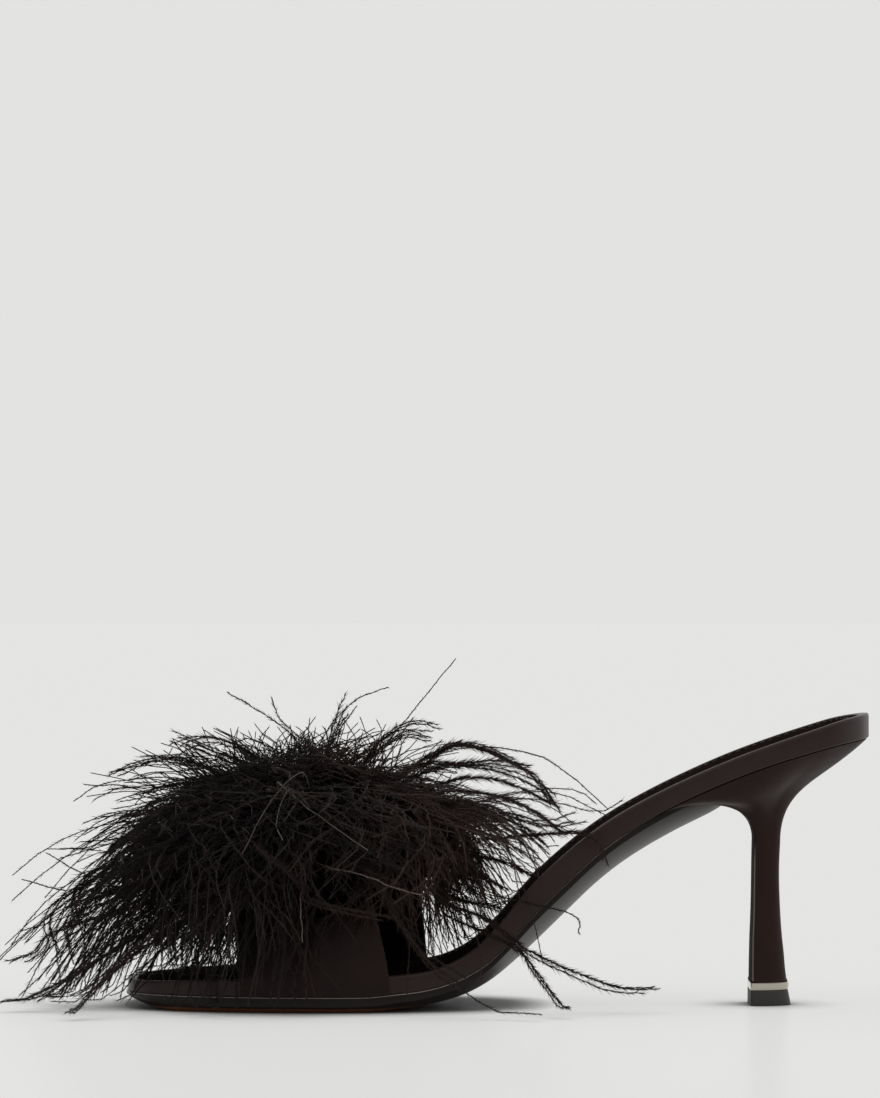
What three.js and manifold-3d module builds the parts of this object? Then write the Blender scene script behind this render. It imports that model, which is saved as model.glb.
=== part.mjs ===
// High-heeled slide sandal with a feather-trimmed vamp strap, for the left foot.
// Millimetres, +Z up. The toe points to -X, the outer side of the foot is at -Y.
// The origin is on the floor, in the middle of the forefoot tread.

import * as THREE from 'three';
import { mergeVertices } from 'three/addons/utils/BufferGeometryUtils.js';
import Module from 'manifold-3d';

// Driving sizes of the shoe
const LENGTH = 221; // toe tip to the back of the footbed, measured along the floor
const BALL_WIDTH = 76;
const SEAT_HEIGHT = 79.7; // floor to the seam under the back of the footbed
const OUTSOLE_THICKNESS = 4.6; // at the forefoot
const WALL_HEIGHT = 6.8; // side of the footbed at the seat
const GAP = 0.3; // between pieces that are glued or sewn on the real shoe
const ROUNDING_POWER = 2.2; // how early the outsole's underside leaves its edge
const END_TUCK = BALL_WIDTH / 4; // the middle line of the sole ends this far before its ends

// Footbed and insole
const RIM_WIDTH = 2.9;
const RIM_ROUND = 1.2;
const RECESS = 1.7; // from the rim down to the bed, at its edge
const CUP_DEPTH = 1.3; // the bed's middle below its edge
const INSOLE_THICKNESS = 1.2;

// Vamp strap
const STRAP_WALL = 2;
const STRAP_PROUD = 0.4; // how far the strap stands out from the sole's outline
const VAMP_FRONT_HEIGHT = 33; // inside height over the floor at the strap's front edge
const VAMP_REAR_HEIGHT = 47; // and at its rear edge
const INSTEP_SHIFT = 4; // the ridge of the foot lies towards the inner side
const ARCH_POWER = 2.5;
const ARCH_HELD = { from: 0.1, to: 0.43 }; // shares of LENGTH beyond which the arch keeps its shape
const FOOT_SPACE = { from: 0.06, to: 0.62 }; // shares of LENGTH that the feathers keep free for the foot

// Heel
const HEEL_OVERHANG = 0.9; // the footbed stands out over the heel's seat
const HEEL_DEPTH = 8.2; // front to back at the slimmest place
const HEEL_WIDTH = 13; // side to side at the slimmest place
const FOOT_FLARE = 1.4; // size of the heel's foot against its slimmest place, front to back
const BAND_HEIGHT = 2.2;
const TOP_PIECE_HEIGHT = 4.6;
const TOP_PIECE_FLARE = 0.9; // the rubber grows this much towards the floor
const SEAT_CROWDING = 1.9; // how much closer the seat's points lie towards its back
// The shaft's section: half width of its flat front, how soon it is full width, and how round its sides are
const SECTION = { flat: 0.72, corner: 5, sides: 0.62, depth: 1.15 };
// Pull of the heel's flare: shares of the way to the shaft at the wings and at the back, and where one turns
// into the other along the seat
const FLARE = { wing: 0.12, wingDrop: 0.6, back: 0.53, backDrop: 0.42, turnFrom: 0.25, turnTo: 0.75 };

// Feathers
const PUFF_LENGTH = 100;
const PUFF_WIDTH = 100;
const PUFF_HEIGHT = 60;
const PUFF_CENTRE_HEIGHT = 45;
const LOBE_DEPTH = 0.07; // the clumps of the puff, as a share of its radius
const FEATHER_REACH = 104; // from the puff's centre to the longest tips
const LOCK_RADIUS = 4.6;
const LOOSE_LOCK_RADIUS = 7;
const LOCK_TIP_RADIUS = 0.7;
const LOCK_ROOT = 0.22; // how far out of the puff's centre a lock starts, as a share of its way
const LOWEST_ROOT = 27;
const FLOOR_CLEARANCE = 1.6;
const LOCK_DROOP = 13; // how far a level lock's tip hangs
// Loose locks all round: their number, lowest and highest direction, reach against the puff, and how much and how
// fast that reach changes from lock to lock
const LOOSE = { locks: 64, low: -0.45, high: 0.92, stretch: 1.38, uneven: 0.14, pace: 1.7, sag: 0.16, taper: 2.4 };
// Fringe of locks that hangs in front of the toe: directions in degrees, 180 at the toe, and the tips' height
const FRINGE = {
  locks: 9, from: 146, to: 250, stretch: 1.42, uneven: 0.1, pace: 2.6, tipHeight: 6.5, sag: 0.13, taper: 1.8,
};

// Places along the shoe, as shares of its length
const TREAD_CENTRE = 0.2;
const HEEL_AXIS = 0.8593;
const WING_TIP = 0.709;
const PUFF_CENTRE = 0.25;

// Numbers of points in the meshes
const STATIONS_PER_ROW = 2;
const STRAP_ARC_STEPS = 26;
const STRAP_DEPTH_STEPS = 6;
const HEEL_FRONT_STEPS = 6;
const HEEL_SIDE_STEPS = 13;
const HEEL_FLARE_STEPS = 9;
const FOOT_SPACE_STEPS = 20;
const PUFF_TURN_STEPS = 26;
const PUFF_RISE_STEPS = 14;
const LOCK_SIDES = 5;
const LOCK_STEPS = 4;

// Outline of the sole seen from above. along is a share of LENGTH, outer and inner are shares of BALL_WIDTH.
const OUTLINE = [
  { along: 0.0, outer: 0.03, inner: 0.03 },
  { along: 0.003, outer: -0.11, inner: 0.16 },
  { along: 0.014, outer: -0.225, inner: 0.27 },
  { along: 0.04, outer: -0.325, inner: 0.355 },
  { along: 0.09, outer: -0.415, inner: 0.43 },
  { along: 0.16, outer: -0.478, inner: 0.475 },
  { along: 0.24, outer: -0.51, inner: 0.49 },
  { along: 0.31, outer: -0.505, inner: 0.488 },
  { along: 0.37, outer: -0.47, inner: 0.462 },
  { along: 0.43, outer: -0.41, inner: 0.405 },
  { along: 0.5, outer: -0.35, inner: 0.345 },
  { along: 0.58, outer: -0.308, inner: 0.3 },
  { along: 0.66, outer: -0.296, inner: 0.292 },
  { along: 0.74, outer: -0.315, inner: 0.312 },
  { along: 0.82, outer: -0.34, inner: 0.34 },
  { along: 0.89, outer: -0.345, inner: 0.345 },
  { along: 0.945, outer: -0.3, inner: 0.3 },
  { along: 0.98, outer: -0.205, inner: 0.205 },
  { along: 0.995, outer: -0.105, inner: 0.105 },
  { along: 1.0, outer: 0, inner: 0 },
];

// The outsole leaves the outline where the heel's wings begin, and ends inside the heel's breast.
const OUTSOLE_END = [
  { along: 0.685, outer: -0.291, inner: 0.287 },
  { along: 0.715, outer: -0.279, inner: 0.277 },
  { along: 0.745, outer: -0.26, inner: 0.26 },
  { along: 0.775, outer: -0.232, inner: 0.232 },
  { along: 0.805, outer: -0.19, inner: 0.19 },
  { along: 0.827, outer: -0.115, inner: 0.115 },
  { along: 0.836, outer: 0, inner: 0 },
];

// Side view of the sole. rise is the seam's height as a share of the way from the forefoot to the seat,
// wall a share of WALL_HEIGHT, depth the outsole below the seam as a share of OUTSOLE_THICKNESS,
// edge the share of that depth that its upright edge takes, and round how far its rounding reaches in.
const SIDE = [
  { along: 0.0, rise: 0.0, wall: 0.53, depth: 0.3, edge: 0.6, round: 0.1 },
  { along: 0.02, rise: 0.0, wall: 0.56, depth: 0.56, edge: 0.6, round: 0.1 },
  { along: 0.035, rise: 0.0, wall: 0.585, depth: 0.76, edge: 0.6, round: 0.1 },
  { along: 0.05, rise: 0.0, wall: 0.6, depth: 0.88, edge: 0.62, round: 0.1 },
  { along: 0.063, rise: 0.0, wall: 0.63, depth: 1.0, edge: 0.62, round: 0.1 },
  { along: 0.1, rise: 0.0, wall: 0.69, depth: 1.0, edge: 0.62, round: 0.1 },
  { along: 0.17, rise: 0.0, wall: 0.78, depth: 1.0, edge: 0.62, round: 0.1 },
  { along: 0.235, rise: 0.0, wall: 0.86, depth: 1.0, edge: 0.62, round: 0.1 },
  { along: 0.32, rise: 0.0, wall: 0.85, depth: 1.0, edge: 0.6, round: 0.12 },
  { along: 0.37, rise: 0.012, wall: 0.82, depth: 1.07, edge: 0.5, round: 0.3 },
  { along: 0.4, rise: 0.022, wall: 0.81, depth: 1.14, edge: 0.44, round: 0.5 },
  { along: 0.43, rise: 0.043, wall: 0.85, depth: 1.26, edge: 0.38, round: 0.7 },
  { along: 0.46, rise: 0.078, wall: 0.98, depth: 1.39, edge: 0.34, round: 0.85 },
  { along: 0.49, rise: 0.135, wall: 1.18, depth: 1.56, edge: 0.3, round: 1.0 },
  { along: 0.52, rise: 0.225, wall: 1.35, depth: 1.87, edge: 0.27, round: 1.0 },
  { along: 0.55, rise: 0.32, wall: 1.4, depth: 2.08, edge: 0.25, round: 1.0 },
  { along: 0.59, rise: 0.433, wall: 1.36, depth: 2.06, edge: 0.25, round: 1.0 },
  { along: 0.63, rise: 0.542, wall: 1.17, depth: 2.0, edge: 0.25, round: 1.0 },
  { along: 0.67, rise: 0.63, wall: 1.03, depth: 1.93, edge: 0.25, round: 1.0 },
  { along: 0.72, rise: 0.716, wall: 0.95, depth: 1.86, edge: 0.25, round: 1.0 },
  { along: 0.77, rise: 0.788, wall: 0.92, depth: 1.86, edge: 0.25, round: 1.0 },
  { along: 0.82, rise: 0.851, wall: 0.91, depth: 2.35, edge: 0.25, round: 1.0 },
  { along: 0.87, rise: 0.905, wall: 0.91, depth: 2.5, edge: 0.25, round: 1.0 },
  { along: 0.92, rise: 0.949, wall: 0.97, depth: 2.5, edge: 0.25, round: 1.0 },
  { along: 0.96, rise: 0.979, wall: 1.05, depth: 2.5, edge: 0.25, round: 1.0 },
  { along: 1.0, rise: 1.0, wall: 1.1, depth: 2.5, edge: 0.25, round: 1.0 },
];

// Edges of the strap from its outer foot (arc 0) over the instep to its inner foot (arc 1), as shares of LENGTH.
const STRAP_EDGES = [
  { arc: 0.0, front: 0.156, rear: 0.357 },
  { arc: 0.15, front: 0.15, rear: 0.337 },
  { arc: 0.3, front: 0.143, rear: 0.327 },
  { arc: 0.5, front: 0.139, rear: 0.332 },
  { arc: 0.7, front: 0.141, rear: 0.36 },
  { arc: 0.85, front: 0.146, rear: 0.392 },
  { arc: 1.0, front: 0.152, rear: 0.405 },
];

// The heel's shaft. up is a share of its way from the metal band to the flare, front and back are shares of
// HEEL_DEPTH from the heel's axis, half is a share of HEEL_WIDTH.
const SHAFT = [
  { up: 0.0, front: -0.53, back: 0.8, half: 0.69 },
  { up: 0.1, front: -0.53, back: 0.735, half: 0.655 },
  { up: 0.21, front: -0.52, back: 0.69, half: 0.62 },
  { up: 0.32, front: -0.51, back: 0.63, half: 0.585 },
  { up: 0.43, front: -0.49, back: 0.585, half: 0.555 },
  { up: 0.56, front: -0.47, back: 0.55, half: 0.525 },
  { up: 0.7, front: -0.46, back: 0.525, half: 0.505 },
  { up: 0.85, front: -0.45, back: 0.525, half: 0.5 },
  { up: 1.0, front: -0.435, back: 0.56, half: 0.515 },
];
// Heights on the heel, as shares of SEAT_HEIGHT
const SHAFT_TOP = 0.603;
const WING_EDGE = 0.748; // lower edge of the wings
const BREAST_ROOF = 0.215; // from the shaft's top up to the roof of the arch in front of it

// Long feather locks that stand out of the puff. The tip is given from the puff's centre as shares of
// FEATHER_REACH, and sag is how far the lock hangs below the straight line, as a share of its length.
const LONG_LOCKS = [
  { along: 0.36, across: 0.02, up: 0.555, sag: 0.0 },
  { along: 0.14, across: 0.12, up: 0.46, sag: 0.02 },
  { along: -0.29, across: -0.06, up: 0.46, sag: 0.03 },
  { along: -0.44, across: 0.14, up: 0.32, sag: 0.06 },
  { along: -0.73, across: -0.14, up: 0.14, sag: 0.1 },
  { along: -0.99, across: -0.3, up: -0.1, sag: 0.12 },
  { along: -0.98, across: 0.3, up: -0.26, sag: 0.1 },
  { along: -0.97, across: -0.38, up: -0.4, sag: 0.03 },
  { along: -0.66, across: -0.52, up: -0.4, sag: 0.02 },
  { along: 0.64, across: 0.1, up: 0.24, sag: 0.1 },
  { along: 0.79, across: -0.24, up: 0.12, sag: 0.16 },
  { along: 0.78, across: -0.5, up: -0.17, sag: 0.12 },
  { along: 0.91, across: -0.5, up: -0.38, sag: 0.04 },
  { along: 0.5, across: -0.62, up: -0.4, sag: 0.02 },
  { along: 0.74, across: 0.5, up: -0.3, sag: 0.08 },
  { along: 0.1, across: 0.86, up: -0.3, sag: 0.06 },
  { along: -0.1, across: -0.84, up: -0.32, sag: 0.06 },
  { along: -0.55, across: 0.62, up: -0.36, sag: 0.04 },
];

const wasm = await Module();
wasm.setup();

const toX = (share) => (share - TREAD_CENTRE) * LENGTH;
const toShare = (x) => x / LENGTH + TREAD_CENTRE;
const lerp = THREE.MathUtils.lerp;
const clamp = THREE.MathUtils.clamp;

// A smooth value read from one column of a table whose rows are ordered by key.
function read(rows, key, column, place) {
  const last = rows.length - 1;
  const at = clamp(place, rows[0][key], rows[last][key]);
  let i = 0;
  while (i < last - 1 && at > rows[i + 1][key]) i += 1;
  const slope = (k) => {
    const before = rows[Math.max(k - 1, 0)];
    const after = rows[Math.min(k + 1, last)];
    return (after[column] - before[column]) / (after[key] - before[key]);
  };
  const span = rows[i + 1][key] - rows[i][key];
  const t = (at - rows[i][key]) / span;
  const ease = t * t * (3 - 2 * t);
  const leave = t * (1 - t) * (1 - t) * slope(i) * span;
  const arrive = t * t * (t - 1) * slope(i + 1) * span;
  return lerp(rows[i][column], rows[i + 1][column], ease) + leave + arrive;
}

// Heights of the sole at a place along the shoe
const seamZ = (x) => {
  const rise = Math.max(read(SIDE, 'along', 'rise', toShare(x)), 0);
  return lerp(OUTSOLE_THICKNESS, SEAT_HEIGHT, rise);
};
const rimZ = (x) => seamZ(x) + WALL_HEIGHT * read(SIDE, 'along', 'wall', toShare(x));

// Pairs of outline points, outer and inner, that share their place along the shoe
function pairs(rows) {
  const points = rows.map((row) => {
    return new THREE.Vector3(toX(row.along), row.outer * BALL_WIDTH, row.inner * BALL_WIDTH);
  });
  const curve = new THREE.CatmullRomCurve3(points, false, 'centripetal');
  const sampled = curve.getPoints((rows.length - 1) * STATIONS_PER_ROW);
  return sampled.map((p) => ({ x: p.x, outer: p.y, inner: p.z }));
}

const SOLE_PAIRS = pairs(OUTLINE);

// Outer and inner side of the sole at any place along it
function sides(x) {
  const last = SOLE_PAIRS.length - 1;
  let i = 0;
  while (i < last - 1 && x > SOLE_PAIRS[i + 1].x) i += 1;
  const t = clamp((x - SOLE_PAIRS[i].x) / (SOLE_PAIRS[i + 1].x - SOLE_PAIRS[i].x), 0, 1);
  return {
    outer: lerp(SOLE_PAIRS[i].outer, SOLE_PAIRS[i + 1].outer, t),
    inner: lerp(SOLE_PAIRS[i].inner, SOLE_PAIRS[i + 1].inner, t),
  };
}

// A closed ring of edge points, each with the point of the middle line that it shrinks towards
function ring(stationPairs) {
  const last = stationPairs.length - 1;
  const near = stationPairs[0].x;
  const far = stationPairs[last].x;
  const middle = (pair) => {
    const x = clamp(pair.x, near + END_TUCK, far - END_TUCK);
    const side = sides(x);
    return new THREE.Vector2(x, (side.outer + side.inner) / 2);
  };
  const outer = stationPairs.map((p) => ({ edge: new THREE.Vector2(p.x, p.outer), middle: middle(p) }));
  const inner = stationPairs.map((p) => ({ edge: new THREE.Vector2(p.x, p.inner), middle: middle(p) }));
  return [...outer, ...inner.slice(1, last).reverse()];
}

// The plan point that lies inset millimetres, or a share of the whole way, from the edge to the middle line
function inward(place, { inset = 0, share = 0 }) {
  const way = place.middle.clone().sub(place.edge);
  const t = clamp(inset / way.length() + share, 0, 1);
  return place.edge.clone().addScaledVector(way, t);
}

// A solid from rows of points that all close on themselves. Its first and last row are closed by merging.
function solidOfRows(rows, closeEnds) {
  const count = rows[0].length;
  const positions = rows.flat().flatMap((p) => [p.x, p.y, p.z]);
  const index = [];
  for (let r = 0; r < rows.length - 1; r += 1) {
    for (let k = 0; k < count; k += 1) {
      const a = r * count + k;
      const b = r * count + ((k + 1) % count);
      index.push(a, b, b + count, a, b + count, a + count);
    }
  }
  if (closeEnds) {
    for (let k = 1; k < count - 1; k += 1) {
      const end = (rows.length - 1) * count;
      index.push(0, k + 1, k, end, end + k, end + k + 1);
    }
  }
  const geometry = new THREE.BufferGeometry();
  geometry.setAttribute('position', new THREE.Float32BufferAttribute(positions, 3));
  geometry.setIndex(index);
  return tidy(geometry);
}

// Shared vertices merged, empty triangles dropped and the faces turned outwards
function tidy(geometry) {
  geometry.deleteAttribute('normal');
  geometry.deleteAttribute('uv');
  const merged = mergeVertices(geometry, 1e-4);
  const kept = [];
  const index = merged.index.array;
  for (let i = 0; i < index.length; i += 3) {
    const [a, b, c] = [index[i], index[i + 1], index[i + 2]];
    if (a !== b && b !== c && c !== a) kept.push(a, b, c);
  }
  if (volume(merged.attributes.position, kept) < 0) {
    for (let i = 0; i < kept.length; i += 3) [kept[i], kept[i + 1]] = [kept[i + 1], kept[i]];
  }
  merged.setIndex(kept);
  return merged;
}

function volume(position, index) {
  const corners = [new THREE.Vector3(), new THREE.Vector3(), new THREE.Vector3()];
  let total = 0;
  for (let i = 0; i < index.length; i += 3) {
    corners.forEach((corner, k) => corner.fromBufferAttribute(position, index[i + k]));
    total += corners[0].dot(corners[1].clone().cross(corners[2])) / 6;
  }
  return total;
}

function toManifold(geometry) {
  const vertProperties = new Float32Array(geometry.attributes.position.array);
  const triVerts = new Uint32Array(geometry.index.array);
  return new wasm.Manifold(new wasm.Mesh({ numProp: 3, vertProperties, triVerts }));
}

function toGeometry(manifold) {
  const mesh = manifold.getMesh();
  const geometry = new THREE.BufferGeometry();
  geometry.setAttribute('position', new THREE.Float32BufferAttribute(mesh.vertProperties, 3));
  geometry.setIndex(Array.from(mesh.triVerts));
  return tidy(geometry);
}

// The largest body of a cut solid, so that no crumb stays behind
function mainBody(manifold) {
  const bodies = manifold.decompose();
  return bodies.reduce((best, body) => (body.volume() > best.volume() ? body : best));
}

// A slab of the sole: a list of stops from the middle of one face round the edge to the middle of the other
function slab(stationPairs, stops) {
  const places = ring(stationPairs);
  const rows = stops.map((stop) => places.map((place) => {
    const p = inward(place, stop);
    return new THREE.Vector3(p.x, p.y, stop.z(p.x));
  }));
  return solidOfRows(rows, false);
}

// Outsole: flat tread with a bevelled toe, rounded shank
function outsole(grow = 0) {
  const top = (x) => seamZ(x) - GAP + grow;
  const depth = (x) => OUTSOLE_THICKNESS * read(SIDE, 'along', 'depth', toShare(x));
  const bottom = (share) => (x) => {
    const deep = depth(x);
    const edge = read(SIDE, 'along', 'edge', toShare(x));
    const reach = read(SIDE, 'along', 'round', toShare(x));
    const curl = Math.max(1 - share / reach, 0) ** ROUNDING_POWER;
    return Math.max(seamZ(x) - deep * (1 - (1 - edge) * curl), 0) - grow;
  };
  const rows = [...OUTLINE.filter((row) => row.along < OUTSOLE_END[0].along), ...OUTSOLE_END];
  const shankEnd = OUTSOLE_END[OUTSOLE_END.length - 1].along;
  const wide = pairs(rows).map((p, k, all) => {
    const pointed = grow > 0 && (k === 0 || k === all.length - 1);
    const middle = (p.outer + p.inner) / 2;
    return {
      x: p.x + (toShare(p.x) > (shankEnd + WING_TIP) / 2 ? grow : 0),
      outer: pointed ? middle : p.outer - grow,
      inner: pointed ? middle : p.inner + grow,
    };
  });
  return slab(wide, [
    { share: 1, z: top },
    { share: 0.5, z: top },
    { share: 0, z: top },
    { share: 0, z: bottom(0) },
    { share: 0.03, z: bottom(0.03) },
    { share: 0.1, z: bottom(0.1) },
    { share: 0.3, z: bottom(0.3) },
    { share: 0.6, z: bottom(0.6) },
    { share: 1, z: bottom(1) },
  ]);
}

// Height of the hollow bed inside the footbed's rim, share 0 at its edge and 1 in the middle
const bedZ = (share, lift) => (x) => rimZ(x) - RECESS - CUP_DEPTH * Math.sin((share * Math.PI) / 2) + lift;

// Footbed: wrapped board with an upright side, a rounded rim and a shallow bed for the insole
function footbed() {
  const body = slab(SOLE_PAIRS, [
    { share: 1, z: seamZ },
    { inset: 0.5, z: seamZ },
    { inset: 0, z: (x) => seamZ(x) + 0.5 },
    { inset: 0, z: (x) => rimZ(x) - RIM_ROUND },
    { inset: RIM_ROUND * 0.3, z: (x) => rimZ(x) - RIM_ROUND * 0.3 },
    { inset: RIM_ROUND, z: rimZ },
    { inset: RIM_WIDTH - 0.6, z: (x) => rimZ(x) - 0.15 },
    { inset: RIM_WIDTH, z: (x) => rimZ(x) - RECESS },
    { inset: RIM_WIDTH, share: 0.4, z: bedZ(0.4, 0) },
    { share: 1, z: bedZ(1, 0) },
  ]);
  return mainBody(toManifold(body).subtract(toManifold(strap(GAP))));
}

// Insole: thin sock that lies in the footbed's bed
function insole() {
  const edge = RIM_WIDTH + GAP;
  const top = GAP + INSOLE_THICKNESS;
  return slab(SOLE_PAIRS, [
    { share: 1, z: bedZ(1, GAP) },
    { inset: edge, share: 0.4, z: bedZ(0.4, GAP) },
    { inset: edge, z: bedZ(0, GAP) },
    { inset: edge, z: bedZ(0, top - 0.4) },
    { inset: edge + 0.5, z: bedZ(0, top) },
    { inset: edge, share: 0.4, z: bedZ(0.4, top) },
    { share: 1, z: bedZ(1, top) },
  ]);
}

const INSTEP = STRAP_EDGES.find((row) => row.arc === 0.5);

// A point of the arch over the foot: arc runs from the outer foot of the strap to its inner foot
function archPoint(x, arc, thick) {
  const held = clamp(x, toX(ARCH_HELD.from), toX(ARCH_HELD.to));
  const side = sides(held);
  const ridge = (side.outer + side.inner) / 2 + INSTEP_SHIFT;
  const angle = arc * Math.PI;
  const reach = Math.abs(Math.cos(angle)) ** (2 / ARCH_POWER);
  const lift = Math.abs(Math.sin(angle)) ** (2 / ARCH_POWER);
  const grow = STRAP_PROUD - STRAP_WALL + thick;
  const half = arc < 0.5 ? side.outer - ridge - grow : side.inner - ridge + grow;
  const share = (toShare(held) - INSTEP.front) / (INSTEP.rear - INSTEP.front);
  const crown = lerp(VAMP_FRONT_HEIGHT, VAMP_REAR_HEIGHT, share) + thick;
  return new THREE.Vector3(x, ridge + half * reach, lerp(seamZ(held), crown, lift));
}

const lowered = (points, drop) => points.map((p) => new THREE.Vector3(p.x, p.y, p.z - drop));

// Vamp strap: one hollow arch with a wall of its real thickness, grown all round when it cuts the footbed
function strap(grow = 0) {
  const rows = [];
  for (let d = 0; d <= STRAP_DEPTH_STEPS; d += 1) rows.push({ depth: d / STRAP_DEPTH_STEPS, thick: STRAP_WALL + grow });
  for (let d = STRAP_DEPTH_STEPS; d >= 0; d -= 1) rows.push({ depth: d / STRAP_DEPTH_STEPS, thick: -grow });
  const slices = [];
  for (let k = 0; k <= STRAP_ARC_STEPS; k += 1) {
    const arc = k / STRAP_ARC_STEPS;
    const front = toX(read(STRAP_EDGES, 'arc', 'front', arc)) - grow;
    const rear = toX(read(STRAP_EDGES, 'arc', 'rear', arc)) + grow;
    slices.push(rows.map(({ depth, thick }) => archPoint(lerp(front, rear, depth), arc, thick)));
  }
  if (grow > 0) {
    slices.unshift(lowered(slices[0], 2 * grow));
    slices.push(lowered(slices[slices.length - 1], 2 * grow));
  }
  return solidOfRows(slices, true);
}

// The space that the strap and the foot under it take, for the feathers to stay out of
function footSpace() {
  const slices = [];
  for (let s = 0; s <= FOOT_SPACE_STEPS; s += 1) {
    const x = toX(lerp(FOOT_SPACE.from, FOOT_SPACE.to, s / FOOT_SPACE_STEPS));
    const slice = [];
    for (let k = 0; k <= STRAP_ARC_STEPS; k += 1) {
      slice.push(archPoint(x, k / STRAP_ARC_STEPS, STRAP_WALL + GAP));
    }
    const [first, last] = lowered([slice[0], slice[STRAP_ARC_STEPS]], 3 * OUTSOLE_THICKNESS);
    slices.push([first, ...slice, last]);
  }
  return solidOfRows(slices, true);
}

// A ring round the heel's shaft: flat in front, rounded behind
function shaftRing(front, back, half) {
  const points = [];
  const corner = half * SECTION.flat;
  for (let k = 0; k < HEEL_FRONT_STEPS; k += 1) {
    points.push(new THREE.Vector2(front, lerp(corner, -corner, k / HEEL_FRONT_STEPS)));
  }
  const side = (q, sign) => {
    const turn = (q * Math.PI) / 2;
    const bulge = Math.sin(Math.min(q * SECTION.corner, 1) * (Math.PI / 2));
    const y = lerp(corner, half, bulge) * Math.cos(turn) ** SECTION.sides;
    return new THREE.Vector2(lerp(front, back, Math.sin(turn) ** SECTION.depth), sign * y);
  };
  for (let k = 0; k < HEEL_SIDE_STEPS; k += 1) points.push(side(k / HEEL_SIDE_STEPS, -1));
  for (let k = HEEL_SIDE_STEPS; k > 0; k -= 1) points.push(side(k / HEEL_SIDE_STEPS, 1));
  return points;
}

// The ring of the heel's seat under the footbed, with the same number of points as a shaft ring
function seatRing() {
  const from = toX(WING_TIP);
  const to = toX(1) - HEEL_OVERHANG;
  const point = (q, sign) => {
    const x = lerp(from, to, 1 - (1 - q) ** SEAT_CROWDING);
    const side = sides(x + HEEL_OVERHANG * q);
    const y = sign < 0 ? side.outer + HEEL_OVERHANG : side.inner - HEEL_OVERHANG;
    return new THREE.Vector2(x, q >= 1 ? 0 : y);
  };
  const points = [];
  const [left, right] = [point(0, 1).y, point(0, -1).y];
  for (let k = 0; k < HEEL_FRONT_STEPS; k += 1) {
    points.push(new THREE.Vector2(from, lerp(left, right, k / HEEL_FRONT_STEPS)));
  }
  for (let k = 0; k < HEEL_SIDE_STEPS; k += 1) points.push(point(k / HEEL_SIDE_STEPS, -1));
  for (let k = HEEL_SIDE_STEPS; k > 0; k -= 1) points.push(point(k / HEEL_SIDE_STEPS, 1));
  return points;
}

const bandTop = TOP_PIECE_HEIGHT + BAND_HEIGHT;
const shaftTop = SEAT_HEIGHT * SHAFT_TOP;
const heelX = toX(HEEL_AXIS);

function shaftRow(row, z) {
  const flat = shaftRing(heelX + row.front * HEEL_DEPTH, heelX + row.back * HEEL_DEPTH, row.half * HEEL_WIDTH);
  return flat.map((p) => new THREE.Vector3(p.x, p.y, z));
}

// The foot of the shaft, which the band and the top piece carry on
function footRow(z, grow) {
  const foot = SHAFT[0];
  const flare = FOOT_FLARE / (foot.back - foot.front);
  const middle = heelX + ((foot.front + foot.back) / 2) * HEEL_DEPTH;
  const deep = ((foot.back - foot.front) / 2) * HEEL_DEPTH * flare;
  const flat = shaftRing(middle - deep, middle + deep + grow, foot.half * HEEL_WIDTH + grow / 2);
  return flat.map((p) => new THREE.Vector3(p.x, p.y, z));
}

// A line down the heel from the edge of its seat to the top of the shaft. At the wings it drops upright first
// and then turns inwards, and at the back it slopes in evenly.
function flareCurve(start, end) {
  const along = (start.x - toX(WING_TIP)) / (toX(1) - toX(WING_TIP));
  const back = THREE.MathUtils.smoothstep(along, FLARE.turnFrom, FLARE.turnTo);
  const wingZ = SEAT_HEIGHT * WING_EDGE;
  const upright = start.clone().lerp(end, FLARE.wing);
  upright.z = wingZ - FLARE.wingDrop * Math.max(start.z - wingZ, 0);
  const sloping = start.clone().lerp(end, FLARE.back);
  sloping.z = lerp(start.z, end.z, FLARE.backDrop);
  const arrive = end.clone();
  arrive.x += lerp(HEEL_DEPTH / 6, 0, back);
  arrive.z += SEAT_HEIGHT * BREAST_ROOF;
  return new THREE.CubicBezierCurve3(start, upright.lerp(sloping, back), arrive, end);
}

// Heel: wide seat with two wings, a flare that hollows in from every side, and a slim shaft
function heel() {
  const seat = seatRing();
  const top = shaftRow(SHAFT[SHAFT.length - 1], shaftTop);
  const rows = [];
  const edge = (p) => new THREE.Vector3(p.x, p.y, seamZ(p.x) - GAP);
  const middle = (p) => new THREE.Vector2(clamp(p.x, toX(WING_TIP) + END_TUCK / 2, toX(1) - END_TUCK), 0);
  rows.push(seat.map((p) => edge(middle(p))));
  rows.push(seat.map(edge));
  for (let s = 1; s <= HEEL_FLARE_STEPS; s += 1) {
    rows.push(seat.map((p, k) => flareCurve(edge(p), top[k]).getPoint(s / HEEL_FLARE_STEPS)));
  }
  for (let s = SHAFT.length - 2; s > 0; s -= 1) {
    rows.push(shaftRow(SHAFT[s], lerp(bandTop, shaftTop, SHAFT[s].up)));
  }
  rows.push(footRow(bandTop, 0));
  rows.push(seat.map(() => new THREE.Vector3(heelX, 0, bandTop)));
  return mainBody(toManifold(solidOfRows(rows, false)).subtract(toManifold(outsole(GAP))));
}

function footSlab(low, high, growLow, growHigh) {
  return solidOfRows([footRow(high, growHigh), footRow(low, growLow)], true);
}

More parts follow.
